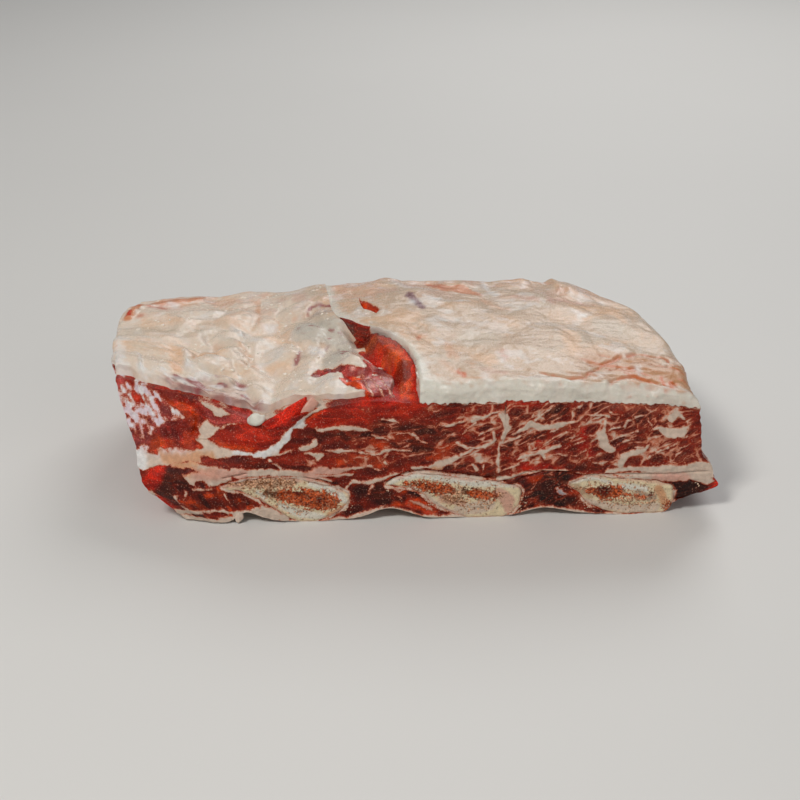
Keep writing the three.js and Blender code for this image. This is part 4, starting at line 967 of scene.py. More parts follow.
def paintOf(s, t, z, side=None):  # what the finishes read: fields, colours and the run of the bundles
    p = spotsAt(s, t, z)
    lean, web = leanTintAt(p), webAt(p)
    if side:
        fat, pale = paintSheet(p, side, lean)
        web = web - 1
    else:
        fat, pale = fatAt(p), paleTintAt(p)
        paintValley(p, lean)
        web = web - 0.3 * p.onTop
    fat = np.clip(fat + p.rag, -4, 4)
    bundle = np.stack([grainRun(p.x), (p.h - grainRise(p.x)) / cutLook["bundleHigh"], p.y / 14], -1)
    return {"fat": fat, "web": web, "bundle": bundle, "leanTint": lean, "paleTint": pale}


def faceRelief(s, t, z, fat):  # how far the cut faces stand out
    x = across(s)
    at = np.stack([x, t * depth, z], -1)
    out = 0.55 * lumpy(at, 11, 11) + 0.4 * lumpy(at, 4.5, 12) + 0.26 * lumpy(at, 1.7, 13)
    out += 0.4 * smooth(-0.5, 0.6, fat)
    torn = smooth(-0.5, 1.5, inPatch(x, z, tornMuscle))
    out += torn * (0.7 * lumpy(at * (0.8, 1, 1.2), 3, 14) + 0.4 * lumpy(at, 1.4, 15))
    for deep, streak in crevices:
        out -= deep * smooth(-0.5, 0.35, inStreak(x, z, streak))
    for high, reach, streak in swellings:
        out += high * smooth(-reach, reach, inStreak(x, z, streak))
    bone = inBones(place(s, t, z)[:, 0], t, z)
    out -= 0.2 * hump(bone, -0.3, 0.6) + 3 * smooth(0, 1, bone)
    return out


# Meshes.
def lattice(nx, ny, nz):  # the outside of a block of cells: its places, and its squares facing outwards
    size = (nx + 1, ny + 1, nz + 1)
    outside = np.ones(size, bool)
    outside[1:-1, 1:-1, 1:-1] = False
    number = np.full(size, -1)
    number[outside] = np.arange(outside.sum())
    squares = []
    for axis in range(3):
        for side in (0, -1):
            sheet = np.take(number, side, axis)
            ring = [sheet[:-1, :-1], sheet[1:, :-1], sheet[1:, 1:], sheet[:-1, 1:]]
            if (side == 0) == (axis != 1):
                ring.reverse()
            squares.append(np.stack(ring, -1).reshape(-1, 4))
    return np.argwhere(outside), np.concatenate(squares)


def toFrame(points):
    return (points - (*rackMiddle, 0)) / 1000


def pointsOf(mesh):  # a mesh's vertices, back in millimetres
    points = np.empty(len(mesh.vertices) * 3, np.float32)
    mesh.vertices.foreach_get("co", points)
    return points.reshape(-1, 3).astype(float) * 1000 + (*rackMiddle, 0)


def movePoints(mesh, points):
    mesh.vertices.foreach_set("co", toFrame(points).astype(np.float32).ravel())
    mesh.polygons.foreach_set("use_smooth", np.ones(len(mesh.polygons), bool))
    mesh.update()


def setAttributes(mesh, attributes):  # numbers, places, and colours where the name ends in Tint
    for key, values in attributes.items():
        kind, field = ("FLOAT", "value") if values.ndim == 1 else ("FLOAT_VECTOR", "vector")
        if key.endswith("Tint"):
            kind, field = "FLOAT_COLOR", "color"
            values = np.c_[values, np.ones(len(values))]
        layer = mesh.attributes.new(key, kind, "POINT")
        layer.data.foreach_set(field, values.astype(np.float32).ravel())


def addPiece(name, mesh):
    piece = bpy.data.objects.new(name, mesh)
    bpy.context.collection.objects.link(piece)
    return piece


def makeMesh(name, points, squares, attributes, finish):
    mesh = bpy.data.meshes.new(name)
    mesh.vertices.add(len(points))
    mesh.loops.add(squares.size)
    mesh.loops.foreach_set("vertex_index", squares.astype(np.int32).ravel())
    mesh.polygons.add(len(squares))
    mesh.polygons.foreach_set("loop_start", np.arange(0, squares.size, 4, dtype=np.int32))
    mesh.update(calc_edges=True)
    movePoints(mesh, points)
    setAttributes(mesh, attributes)
    mesh.materials.append(finish)
    return addPiece(name, mesh)


# Nodes.
def putInto(tree, family=""):  # a short way to lay and link a tree's nodes
    def put(kind, inputs=(), **settings):
        node = tree.nodes.new(family + kind)
        for key, value in settings.items():
            setattr(node, key, value)
        for key, value in dict(inputs).items():
            if isinstance(value, bpy.types.NodeSocket):
                tree.links.new(value, node.inputs[key])
            else:
                node.inputs[key].default_value = value
        return node

    return put


def desk(name):  # a new material, and short ways to lay its nodes
    material = bpy.data.materials.new(name)
    material.use_nodes = True
    material.node_tree.nodes.clear()
    put = putInto(material.node_tree, "ShaderNode")

    def calc(operation, *values):
        return put("Math", dict(enumerate(values)), operation=operation).outputs[0]

    def swing(value, wide, base=0.0):  # a noise, centred and this wide, on top of a base
        return calc("MULTIPLY_ADD", calc("SUBTRACT", value, 0.5), wide, base)

    def ramp(value, low, high, toLow=0.0, toHigh=1.0):
        inputs = {"Value": value, "From Min": low, "From Max": high, "To Min": toLow, "To Max": toHigh}
        return put("MapRange", inputs, interpolation_type="SMOOTHSTEP").outputs["Result"]

    def blend(share, a, b, how="MIX"):
        return put("Mix", {0: share, 6: a, 7: b}, data_type="RGBA", blend_type=how).outputs[2]

    def scaled(vector, by):
        return put("VectorMath", {0: vector, "Scale": by}, operation="SCALE").outputs[0]

    def attribute(key, output="Fac"):
        return put("Attribute", attribute_name=key).outputs[output]

    def noise(vector, scale, detail=2.0, output="Fac"):
        return put("TexNoise", {"Vector": vector, "Scale": scale, "Detail": detail}).outputs[output]

    def millimetres():
        return scaled(put("TexCoord").outputs["Object"], 1000.0)

    def coat(inputs):  # the shader that ends the material
        put("OutputMaterial", {"Surface": put("BsdfPrincipled", inputs).outputs[0]})

    return material, SimpleNamespace(put=put, calc=calc, swing=swing, ramp=ramp, blend=blend, scaled=scaled,
                                     attribute=attribute, noise=noise, millimetres=millimetres, coat=coat)


def rgba(colour):
    return (*linear(colour), 1)


def makeCutFinish(name, grain=1.0, shine=0.24):
    material, do = desk(name)
    put, calc, ramp, blend = do.put, do.calc, do.ramp, do.blend
    mm = do.millimetres()
    coarse, fine = do.noise(mm, 0.6, 3), do.noise(mm, 2.4, 2)
    fuzz = do.swing(fine, cutLook["fine"] * 2, do.swing(coarse, cutLook["ragged"] * 2))
    drawn = calc("ADD", do.attribute("fat"), fuzz)
    warp = put("VectorMath", {0: do.noise(mm, 0.16, 2, "Color"), 1: (0.5, 0.5, 0.5)}, operation="SUBTRACT")
    warp = do.scaled(warp.outputs[0], cutLook["warp"])
    bundle = put("VectorMath", {0: do.attribute("bundle", "Vector"), 1: warp}, operation="ADD").outputs[0]
    edge = put("TexVoronoi", {"Vector": bundle, "Scale": 1.0}, feature="DISTANCE_TO_EDGE").outputs["Distance"]
    cell = put("TexVoronoi", {"Vector": bundle, "Scale": 1.0}, feature="F1").outputs["Color"]
    toEdge = calc("MULTIPLY", edge, cutLook["bundleHigh"])
    uneven = do.swing(do.noise(mm, 0.22, 1), cutLook["uneven"], do.attribute("web"))
    web = calc("ADD", calc("SUBTRACT", uneven, toEdge), calc("MULTIPLY", fuzz, 0.4))
    field = calc("SMOOTH_MAX", drawn, web, 0.1)
    strand = put("TexVoronoi", {"Vector": bundle, "Scale": cutLook["strands"]}, feature="DISTANCE_TO_EDGE")
    strand = calc("MULTIPLY", ramp(strand.outputs["Distance"], 0.11, 0.03), ramp(uneven, -0.3, 0.5))
    share = calc("MAXIMUM", ramp(field, -0.05, 0.12), calc("MULTIPLY", strand, cutLook["strandShare"]))

    cellShade = put("SeparateColor", {"Color": cell}).outputs[0]
    heart = ramp(calc("MULTIPLY_ADD", fine, 1.6, toEdge), 0.7, 1.9)
    tint = do.attribute("leanTint", "Color")
    shell, core = [blend(1.0, tint, cutLook[key], "MULTIPLY") for key in ("shell", "heart")]
    lean = blend(heart, shell, core)
    shade = calc("MULTIPLY", ramp(cellShade, 0, 1, 0.65, 1.35), ramp(fine, 0.32, 0.68, 0.5, 1.5))
    lean = blend(ramp(field, -0.5, -0.05, 0, 0.5), do.scaled(lean, shade), rgba(cutLook["rawEdge"]))
    lean = blend(ramp(do.noise(mm, 1.9, 0), 0.7, 0.78, 0, 0.3), lean, rgba(cutLook["glint"]))
    pale = blend(ramp(field, 0.05, 0.6), rgba(cutLook["thinFat"]), do.attribute("paleTint", "Color"))
    pale = do.scaled(pale, ramp(coarse, 0.3, 0.7, 1 - 0.14 * grain, 1 + 0.07 * grain))

    rough = ramp(share, 0, 1, cutLook["leanGloss"], cutLook["fatGloss"])
    rough = calc("ADD", rough, ramp(fine, 0.2, 0.8, -0.1, 0.12))
    wet = calc("MULTIPLY_ADD", fine, 0.9 * grain, calc("MULTIPLY", do.noise(mm, 6.0, 1), 0.35 * grain))
    wet = calc("MULTIPLY_ADD", do.noise(mm, 0.35, 2), 1.2 + grain, wet)
    height = calc("ADD", calc("MULTIPLY", share, 0.35), wet)
    bump = put("Bump", {"Height": height, "Strength": 0.8, "Distance": cutLook["bump"]}).outputs[0]
    do.coat({"Base Color": blend(share, lean, pale), "Roughness": rough, "Normal": bump, "IOR": wetIor,
             "Specular IOR Level": shine, "Subsurface Weight": 0.1, "Subsurface Radius": (1.0, 0.45, 0.3),
             "Subsurface Scale": 0.0011})
    return material


leanFinish = makeCutFinish("leanFinish")
ribMeatFinish = makeCutFinish("ribMeatFinish")
fatFinish = makeCutFinish("fatFinish")
capFinish = makeCutFinish("capFinish", grain=0.3, shine=0.4)

boneLook = {
    "grains": 1.75, "frayed": (4.0, 2.2),  # grains to a millimetre; how far the spongy bone runs out, mm
    "dust": 0.16, "specks": 0.6,  # shares of the pale and of the dark specks
    "darkGrain": (0.5, 0.34, 0.2, 1), "paleGrain": (1.5, 1.6, 1.5, 1), "bump": 0.0005,
}


def makeBoneFinish(name):
    material, do = desk(name)
    put, calc, ramp, blend = do.put, do.calc, do.ramp, do.blend
    mm = do.millimetres()
    coarse, fine = do.noise(mm, 0.6, 3), do.noise(mm, 2.6, 3)
    grains = put("TexVoronoi", {"Vector": mm, "Scale": boneLook["grains"]}, feature="F1")
    grain = put("SeparateColor", {"Color": grains.outputs["Color"]}).outputs
    bySpot, byGrain = boneLook["frayed"]
    uneven = do.swing(grain[1], byGrain, do.swing(coarse, bySpot, do.attribute("core")))
    spongy = ramp(uneven, -0.3, 0.3)
    tint, solid = do.attribute("coreTint", "Color"), do.attribute("boneTint", "Color")
    darkGrain, paleGrain = [blend(1.0, tint, boneLook[key], "MULTIPLY") for key in ("darkGrain", "paleGrain")]
    shade = calc("MULTIPLY", ramp(fine, 0.3, 0.7, 0.75, 1.3), ramp(coarse, 0.35, 0.65, 0.65, 1.3))
    sponge = do.scaled(blend(ramp(grain[0], 0.1, 0.9), darkGrain, paleGrain), shade)
    sponge = blend(calc("MULTIPLY", ramp(grain[1], 0.72, 0.8), boneLook["dust"]), sponge, solid)
    chalky = calc("MULTIPLY", ramp(fine, 0.3, 0.7, 0.88, 1.08), ramp(grain[1], 0, 1, 0.93, 1.05))
    specks = calc("MULTIPLY", ramp(grain[2], 0.84, 0.9), ramp(coarse, 0.45, 0.65))
    specks = calc("MULTIPLY", specks, boneLook["specks"])
    solid = blend(specks, do.scaled(solid, chalky), rgba(colours["umber"]))
    pits = calc("MULTIPLY", ramp(grains.outputs["Distance"], 0.1, 0.5, 1, 0), spongy)
    height = calc("ADD", calc("MULTIPLY", fine, 0.8), calc("MULTIPLY", pits, 0.8))
    bump = put("Bump", {"Height": height, "Strength": 0.9, "Distance": boneLook["bump"]}).outputs[0]
    do.coat({"Base Color": blend(spongy, solid, sponge), "Roughness": ramp(fine, 0.2, 0.8, 0.25, 0.45),
             "Normal": bump, "IOR": wetIor, "Specular IOR Level": 0.2, "Subsurface Weight": 0.08,
             "Subsurface Radius": (1.0, 0.6, 0.4), "Subsurface Scale": 0.0008})
    return material


boneFinish = makeBoneFinish("boneFinish")
marrowFinish = makeBoneFinish("marrowFinish")
print("materials made")


# The meat.
def drawnIn(u, k=0.5):  # steps that lie closer together at both ends
    return u - k * np.sin(2 * np.pi * u) / (2 * np.pi)


valley = {"high": 6.8, "opens": (1, 26), "closes": (57, 68)}  # the last two by the distance from the front


def valleyFloor(x, y):  # between the two sheets of fat the meat swells up
    between = smooth(0, 4.5, x - leftEdgeX(y)) * smooth(-3, 0.5, rightEdgeX(y) - x)
    high = valley["high"] + 0.7 * lumpy(np.stack([x, y, 0 * x], -1) * (1, 0.4, 1), 5, 60)
    return high * between * smooth(*valley["opens"], y) * (1 - smooth(*valley["closes"], y))


def finishPiece(name, s, t, z, squares, finish, side=None, lift=None):
    paint = paintOf(s, t, z, side)
    out = faceRelief(s, t, z, paint["fat"])
    points = place(s, t, z)
    nearFront, nearBack = 1 - smooth(0, 0.03, t), smooth(0.97, 1, t)
    nearLeft, nearRight = 1 - smooth(0, 0.02, s), smooth(0.98, 1, s)
    points[:, 1] += out * (nearBack - nearFront)
    points[:, 0] += out * (nearRight - nearLeft)
    if lift is not None:
        points[:, 2] += lift
    piece = makeMesh(name, points, squares, paint, finish)
    piece.data.set_sharp_from_angle(angle=sharpFrom)
    return piece


def layerPiece(name, columns, rows, tiers, bottom, top, finish, end=1.0, swell=None):
    steps, squares = lattice(columns, rows, tiers)
    s, t = end * steps[:, 0] / columns, drawnIn(steps[:, 1] / rows, 0.75)
    w = steps[:, 2] / tiers
    x = across(s)
    z = mix(bottom(x, t), top(x, t), w)
    lift = None if swell is None else w * swell(x, t * depth)
    return finishPiece(name, s, t, z, squares, finish, lift=lift)


leanMeat = layerPiece("leanMeat", 460, 40, 60, seamTop, leanTop, leanFinish)
upperMuscle = layerPiece("upperMuscle", 250, 70, 28, leanTop, meatTop, leanFinish,
                         acrossBack(upperEnd), valleyFloor)
seamFat = layerPiece("seamFat", 380, 36, 18, ribMeatTop, seamTop, fatFinish)
ribMeat = layerPiece("ribMeat", 380, 36, 42, ribMeatBottom, ribMeatTop, ribMeatFinish)
print("meat made")

# The cap of fat: how thick each sheet is, and how far in from its edges it is rounded.
sheets = {
    "left": {"thick": 4.6, "thinnest": 0.4, "front": 2, "back": 3, "end": 2.6, "steps": (200, 170, 8)},
    "right": {"thick": 8.2, "thinnest": 1.4, "front": 3.2, "back": 6, "end": 5.5, "valley": 1.7,
              "steps": (200, 170, 14)},
}


def closed(t):  # 1 where both sheets meet
    return smooth(55, 68, t * depth)


def lumpyLine(x, size, seed):
    return lumpy(np.stack([x, 0 * x, 0 * x], -1), size, seed)


def leftSheetFront(x):
    jagged = 1.3 * lumpyLine(x, 6, 49) + 0.8 * lumpyLine(x, 2.5, 50)
    return 0.015 + 0.045 * hump(x, -46, 24) + (jagged + 1.2) / depth


def rim(d, r):  # how far a rounded rim has dropped at a distance in from the edge
    inside = np.clip(r - d, 0, r)
    return r - np.sqrt(np.maximum(r * r - inside * inside, 0))


def rightThick(x, t):
    corner = 3 * hump(x, 90, 12) * smooth(0.6, 0.95, t)
    return sheets["right"]["thick"] + corner + 0.7 * hump(x, 8, 14) + 0.4 * wave(x, t * depth, 13, 2.7)


def leftThick(x, t):
    y = t * depth
    towardsBack = (1.8 + 3 * hump(x, -22, 18)) * smooth(0.3, 0.9, t)
    thick = sheets["left"]["thick"] - 1.2 * smooth(-60, -20, x) + towardsBack + 0.8 * wave(x, y, 10, 6.2)
    toEdge = leftEdgeX(y) - x
    thick = mix(thick, rightThick(x, t), closed(t) * smooth(14, 0, toEdge))
    thinned = smooth(-1, 2.5, lyingPatch(x, y, mauvePatch)) + 0.6 * smooth(-1, 2, lyingPatch(x, y, shelfPatch))
    towardsValley = (1 - closed(t)) * smooth(7, 0, toEdge)
    return thick * (1 - 0.7 * np.maximum(towardsValley, np.minimum(thinned, 1)))


def leftSheetTop(x, t):
    make = sheets["left"]
    rims = rim((1 - t) * depth, make["back"]) + rim((t - 0.02) * depth, make["front"])
    rims = rims + rim(x - rack["left"], make["end"])
    return meatTop(x, t) + np.maximum(leftThick(x, t) - rims, make["thinnest"])


def rightSheetTop(x, t):
    make = sheets["right"]
    y = t * depth
    rims = rim(x - rightEdgeX(y), make["valley"]) * (1 - closed(t)) + rim(rack["right"] - x, make["end"])
    rims = rims + rim((1 - t) * depth, make["back"]) + rim(y + 0.6 * lumpyLine(x, 5, 48), make["front"])
    return meatTop(x, t) + np.maximum(rightThick(x, t) - rims, make["thinnest"])


def leftRelief(x, y, at):
    lobe = lyingPatch(x, y, mound)
    out = 1.1 * smooth(-0.3, 3.5, lobe) - 0.6 * hump(lobe, -0.5, 0.7)
    out += smooth(-1, 1, lyingStreak(x, y, backRuffle)) * (0.9 + 0.6 * lumpy(at, 4, 25))
    for streak in ridges:
        out += 0.9 * smooth(-0.8, 0.5, lyingStreak(x, y, streak))
    return out


def rightRelief(x, y, at):
    wrinkled = smooth(60, 80, x) * smooth(30, 20, y) + 0.4 * smooth(40, 60, x) * smooth(14, 6, y)
    ripples = 0.5 * lumpy(at * (0.3, 1, 1), 2.4, 26) - 0.6 * smooth(0.1, 0.6, wrinklesAt(at))
    out = np.minimum(wrinkled, 1) * ripples
    for streak in folds:
        out -= 0.8 * smooth(-0.4, 0.4, lyingStreak(x, y, streak))
    out -= 3 * smooth(-0.2, 1, lyingPatch(x, y, opening))
    return out + 0.8 * smooth(100, 122, y) * lumpy(at, 7, 27)


def capRelief(x, y, side):
    at = np.stack([x, y, 0 * x], -1)
    lobes = lobed(x + 3.5 * lumpy(at, 9, 28), y * 0.6 + 3 * lumpy(at, 8, 29), 15, 1.7)
    crumpled, lobesHigh = 0.45, 0.6
    if side == "left":
        crumpled = 1
        lobesHigh = mix(2.2 * smooth(-98, -80, x) * smooth(116, 95, y), lobesHigh, nearSeam(x, y))
    out = 0.8 * lumpy(at, 15, 21) + crumpled * (0.3 * lumpy(at, 5, 22) + 0.1 * lumpy(at, 1.8, 24))
    out += lobesHigh * (lobes - 0.8)
    out += 0.3 * crumpled * lumpy(at * (0.3, 1, 1), 3.4, 23)
    return out + (leftRelief if side == "left" else rightRelief)(x, y, at)


def sheetPiece(name, side, corner, top):
    columns, rows, tiers = sheets[side]["steps"]
    steps, squares = lattice(columns, rows, tiers)
    s, t = corner(drawnIn(steps[:, 0] / columns), drawnIn(steps[:, 1] / rows, 0.6))
    w = steps[:, 2] / tiers
    x = across(s)
    z = mix(meatTop(x, t) - 0.4, top(x, t), w)
    return finishPiece(name, s, t, z, squares, capFinish, side=side, lift=w * capRelief(x, t * depth, side))


def rightCorner(u, v):
    y = v * depth
    jagged = 0.9 * lumpyLine(y, 5, 66) + 0.5 * lumpyLine(y, 2, 67)
    return mix(acrossBack(rightEdgeX(y) + jagged * smooth(2, 8, y) * smooth(58, 52, y)), 1, u), v


def leftCorner(u, v):
    t = mix(leftSheetFront(across(u * acrossBack(0))), 1, v)
    return u * acrossBack(leftEdgeX(t * depth)), t


rightFat = sheetPiece("rightFat", "right", rightCorner, rightSheetTop)
leftFat = sheetPiece("leftFat", "left", leftCorner, leftSheetTop)
print("fat cap made")


# The ribs: each is swept from its sawn section to the back.
def sectionMesh(outline, columns, rows):  # squares between the upper and the lower side of an outline
    first, last = outline[:, 0].argmin(), outline[:, 0].argmax()
    around = np.roll(outline, -first, 0)
    turn = (last - first) % len(outline)
    above, below = around[:turn + 1], np.vstack([around[turn:], around[:1]])[::-1]
    u = (1 - np.cos(np.pi * np.arange(columns + 1) / columns)) / 2
    x = mix(outline[first, 0], outline[last, 0], u)
    top, bottom = np.interp(x, *above.T), np.interp(x, *below.T)
    v = np.arange(rows + 1) / rows
    z = mix(bottom[:, None], top[:, None], v)
    number = np.arange(z.size).reshape(z.shape)
    number[0], number[-1] = number[0, 0], number[-1, 0]
    ring = [number[:-1, :-1], number[:-1, 1:], number[1:, 1:], number[1:, :-1]]
    faces = [list(dict.fromkeys(q)) for q in np.stack(ring, -1).reshape(-1, 4).tolist()]
    used = sorted({n for f in faces for n in f})
    renamed = {n: k for k, n in enumerate(used)}
    places = np.stack([np.broadcast_to(x[:, None], z.shape), z], -1).reshape(-1, 2)[used]
    return places, [[renamed[n] for n in f] for f in faces if len(f) > 2]


def newTree(name, inputs):  # a new tree with named inputs, and a short way to lay its nodes
    tree = bpy.data.node_groups.new(name, "GeometryNodeTree")
    tree.is_modifier = True
    sockets = tree.interface
    sockets.new_socket("Geometry", in_out="INPUT", socket_type="NodeSocketGeometry")
    for key, kind in inputs.items():
        sockets.new_socket(key, in_out="INPUT", socket_type="NodeSocket" + kind)
    sockets.new_socket("Geometry", in_out="OUTPUT", socket_type="NodeSocketGeometry")
    return tree, putInto(tree)


def endTree(tree, put, geometry, finish):
    real = put("GeometryNodeRealizeInstances", {"Geometry": geometry}).outputs[0]
    dressed = put("GeometryNodeSetMaterial", {"Geometry": real, "Material": finish}).outputs[0]
    tree.links.new(dressed, put("NodeGroupOutput").inputs[0])


def sweepTree():  # sweeps a flat section along Y, with a bow to one side
    tree, put = newTree("ribSweep", {"Length": "Float", "Bow": "Float", "Front": "Float", "Steps": "Int",
                                     "Finish": "Material"})

    def calc(operation, *values):
        return put("ShaderNodeMath", dict(enumerate(values)), operation=operation).outputs[0]

    def markAhead(geometry, value):
        inputs = {"Geometry": geometry, "Name": "ahead", "Value": value}
        return put("GeometryNodeStoreNamedAttribute", inputs, data_type="BOOLEAN", domain="FACE").outputs[0]

    given = put("NodeGroupInput").outputs
    loopStart, loopEnd = put("GeometryNodeRepeatInput"), put("GeometryNodeRepeatOutput")
    loopStart.pair_with_output(loopEnd)
    tree.links.new(given["Steps"], loopStart.inputs["Iterations"])
    tree.links.new(markAhead(given["Geometry"], True), loopStart.inputs["Geometry"])
    ahead = put("GeometryNodeInputNamedAttribute", {"Name": "ahead"}, data_type="BOOLEAN").outputs[0]
    stride = calc("DIVIDE", given["Length"], given["Steps"])
    straight = put("ShaderNodeCombineXYZ", {1: 1.0}).outputs[0]
    pushed = put("GeometryNodeExtrudeMesh", {
        "Mesh": loopStart.outputs["Geometry"], "Selection": ahead, "Offset": straight, "Offset Scale": stride,
        "Individual": False}, mode="FACES").outputs
    tree.links.new(markAhead(pushed["Mesh"], pushed["Top"]), loopEnd.inputs["Geometry"])
    sawn = put("GeometryNodeFlipFaces", {"Mesh": given["Geometry"]}).outputs[0]
    joined = put("GeometryNodeJoinGeometry")
    tree.links.new(loopEnd.outputs["Geometry"], joined.inputs[0])
    tree.links.new(sawn, joined.inputs[0])
    merged = put("GeometryNodeMergeByDistance", {"Geometry": joined.outputs[0], "Distance": 1e-6}).outputs[0]
    y = put("ShaderNodeSeparateXYZ", {0: put("GeometryNodeInputPosition").outputs[0]}).outputs[1]
    along = calc("DIVIDE", calc("SUBTRACT", y, given["Front"]), given["Length"])
    aside = calc("MULTIPLY", calc("SINE", calc("MULTIPLY", along, math.pi)), given["Bow"])
    bowed = put("GeometryNodeSetPosition", {
        "Geometry": merged, "Offset": put("ShaderNodeCombineXYZ", {0: aside}).outputs[0]}).outputs[0]
    endTree(tree, put, bowed, given["Finish"])
    return tree


ribSweep = sweepTree()


def bake(piece, tree, values):  # runs a tree on a piece and keeps the result as its plain mesh
    modifier = piece.modifiers.new(tree.name, "NODES")
    modifier.node_group = tree
    for item in tree.interface.items_tree:
        if item.in_out == "INPUT" and item.name in values:
            modifier[item.identifier] = values[item.name]
    bpy.context.view_layer.update()
    evaluated = piece.evaluated_get(bpy.context.evaluated_depsgraph_get())
    mesh = bpy.data.meshes.new_from_object(evaluated)
    piece.modifiers.clear()
    old = piece.data
    piece.data = mesh
    bpy.data.meshes.remove(old)
    mesh.name = piece.name
    return mesh


def ribPiece(name, rib, outline, fine, finish):
    places, faces = sectionMesh(outline, *fine)
    front = rack["front"] - ribMake["proud"]
    points = np.stack([places[:, 0], np.full(len(places), float(front)), places[:, 1]], -1)
    mesh = bpy.data.meshes.new(name)
    mesh.from_pydata(toFrame(points).tolist(), [], faces)
    mesh.update()
    mesh.materials.append(finish)
    piece = addPiece(name, mesh)
    length = (depth + 2 * ribMake["proud"]) / 1000
    bake(piece, ribSweep, {"Length": length, "Bow": rib["bow"] / 1000, "Front": toFrame(points)[0, 1],
                           "Steps": ribMake["steps"], "Finish": finish})
    return piece


def dressRib(piece, rib, hollow):
    mesh = piece.data
    points = pointsOf(mesh)
    x, y, z = points.T
    front, back = y < rack["front"] + 0.1, y > rack["back"] - 0.1
    sawn = (front | back).astype(float)
    inMarrow, edge = inLine(x, z, rib["marrowLine"]), inLine(x, z, rib["line"])
    uneven = 0.3 * lumpy(points, 3, 31) + 0.2 * lumpy(points, 1.2, 32)
    uneven -= hollow * smooth(0.3, 1.6, inMarrow) + 0.35 * smooth(1, 0, edge)
    uneven += 0.3 * smooth(-0.5, 0.5, inMarrow)
    points[:, 1] += uneven * (back.astype(float) - front)
    core = np.full(len(x), -9.0)
    for streak in rib["spongy"]:
        core = np.maximum(core, inStreak(x, z, streak))
    core = np.maximum(core, np.minimum(0.25 * inMarrow, 0.3) - 0.3) * sawn - 3 * (1 - sawn)
    tint, coreTint = tinted("boneCream", len(x)), tinted("porousPink", len(x))
    for name, streak in rib["tints"]:
        wash(tint, name, 0.85 * smooth(-0.8, 0.5, inStreak(x, z, streak) + 0.3 * lumpy(points, 2, 33)))
    for name, streak in rib["coreTints"]:
        wash(coreTint, name, 0.9 * smooth(-1.2, 0.6, inStreak(x, z, streak) + 0.5 * lumpy(points, 2, 34)))
    wash(tint, "pinkFat", 0.6 * smooth(1.1, 0.1, edge + 0.8 * lumpy(points, 3, 37)))
    wash(tint, "skin", 1 - sawn)
    setAttributes(mesh, {"core": core, "boneTint": tint, "coreTint": coreTint})
    movePoints(mesh, points)
    mesh.set_sharp_from_angle(angle=sharpFrom)


ribPieces = {}
for side, rib in ribs.items():
    bone = ribPiece("rib" + side.title(), rib, rib["line"], ribMake["bone"], boneFinish)
    core = ribPiece("marrow" + side.title(), rib, rib["marrowLine"], ribMake["marrow"], marrowFinish)
    dressRib(bone, rib, ribMake["hollow"])
    dressRib(core, rib, 0)
    ribPieces[side] = bone, core
print("ribs made")


# Loose bits: torn flaps, crumbs of fat and bone dust.
def flapTree():  # a lump of flesh or fat along a path, as wide as the path says
    tree, put = newTree("flapSweep", {"Sides": "Int", "Finish": "Material"})
    given = put("NodeGroupInput").outputs
    curve = put("GeometryNodeMeshToCurve", {"Mesh": given["Geometry"]}).outputs[0]
    wide = put("GeometryNodeInputNamedAttribute", {"Name": "wide"}, data_type="FLOAT").outputs[0]
    ring = put("GeometryNodeCurvePrimitiveCircle", {"Resolution": given["Sides"], "Radius": 1.0}).outputs[0]
    tube = put("GeometryNodeCurveToMesh", {
        "Curve": curve, "Profile Curve": ring, "Scale": wide, "Fill Caps": True}).outputs[0]
    endTree(tree, put, tube, given["Finish"])
    return tree


def crumbTree():  # crumbs strewn over a bed, thickest where the bed says
    tree, put = newTree("crumbScatter", {"Density": "Float", "Seed": "Int", "Smallest": "Float",
                                         "Largest": "Float", "Finish": "Material"})

    def draw(kind, inputs, seed):
        return put("FunctionNodeRandomValue", {**inputs, "Seed": seed}, data_type=kind).outputs

    given = put("NodeGroupInput").outputs
    thick = put("GeometryNodeInputNamedAttribute", {"Name": "thick"}, data_type="FLOAT").outputs[0]
    density = put("ShaderNodeMath", {0: thick, 1: given["Density"]}, operation="MULTIPLY").outputs[0]
    strewn = put("GeometryNodeDistributePointsOnFaces", {
        "Mesh": given["Geometry"], "Density": density, "Seed": given["Seed"]},
        distribute_method="RANDOM").outputs
    crumb = put("GeometryNodeMeshIcoSphere", {"Radius": 1.0, "Subdivisions": 2}).outputs["Mesh"]
    dent = put("ShaderNodeTexNoise", {"Scale": 1.3, "Detail": 1.0}).outputs["Color"]
    dent = put("ShaderNodeVectorMath", {0: dent, 1: (-0.5, -0.5, -0.5)}, operation="ADD").outputs[0]
    crumb = put("GeometryNodeSetPosition", {"Geometry": crumb, "Offset": dent}).outputs[0]
    size = draw("FLOAT", {2: given["Smallest"], 3: given["Largest"]}, 5)[1]
    stretch = draw("FLOAT_VECTOR", {0: (0.8, 0.6, 0.4), 1: (1.6, 1.1, 0.7)}, 6)[0]
    turn = draw("FLOAT_VECTOR", {0: (0, 0, 0), 1: (0, 0, 6.283)}, 7)[0]
    scale = put("ShaderNodeVectorMath", {0: stretch, "Scale": size}, operation="SCALE").outputs[0]
    turned = put("FunctionNodeRotateRotation", {"Rotation": strewn["Rotation"], "Rotate By": turn},
                 rotation_space="LOCAL").outputs[0]
    laid = put("GeometryNodeInstanceOnPoints", {"Points": strewn["Points"], "Instance": crumb,
                                                "Rotation": turned, "Scale": scale}).outputs[0]
    endTree(tree, put, laid, given["Finish"])
    return tree


flapSweep, crumbScatter = flapTree(), crumbTree()

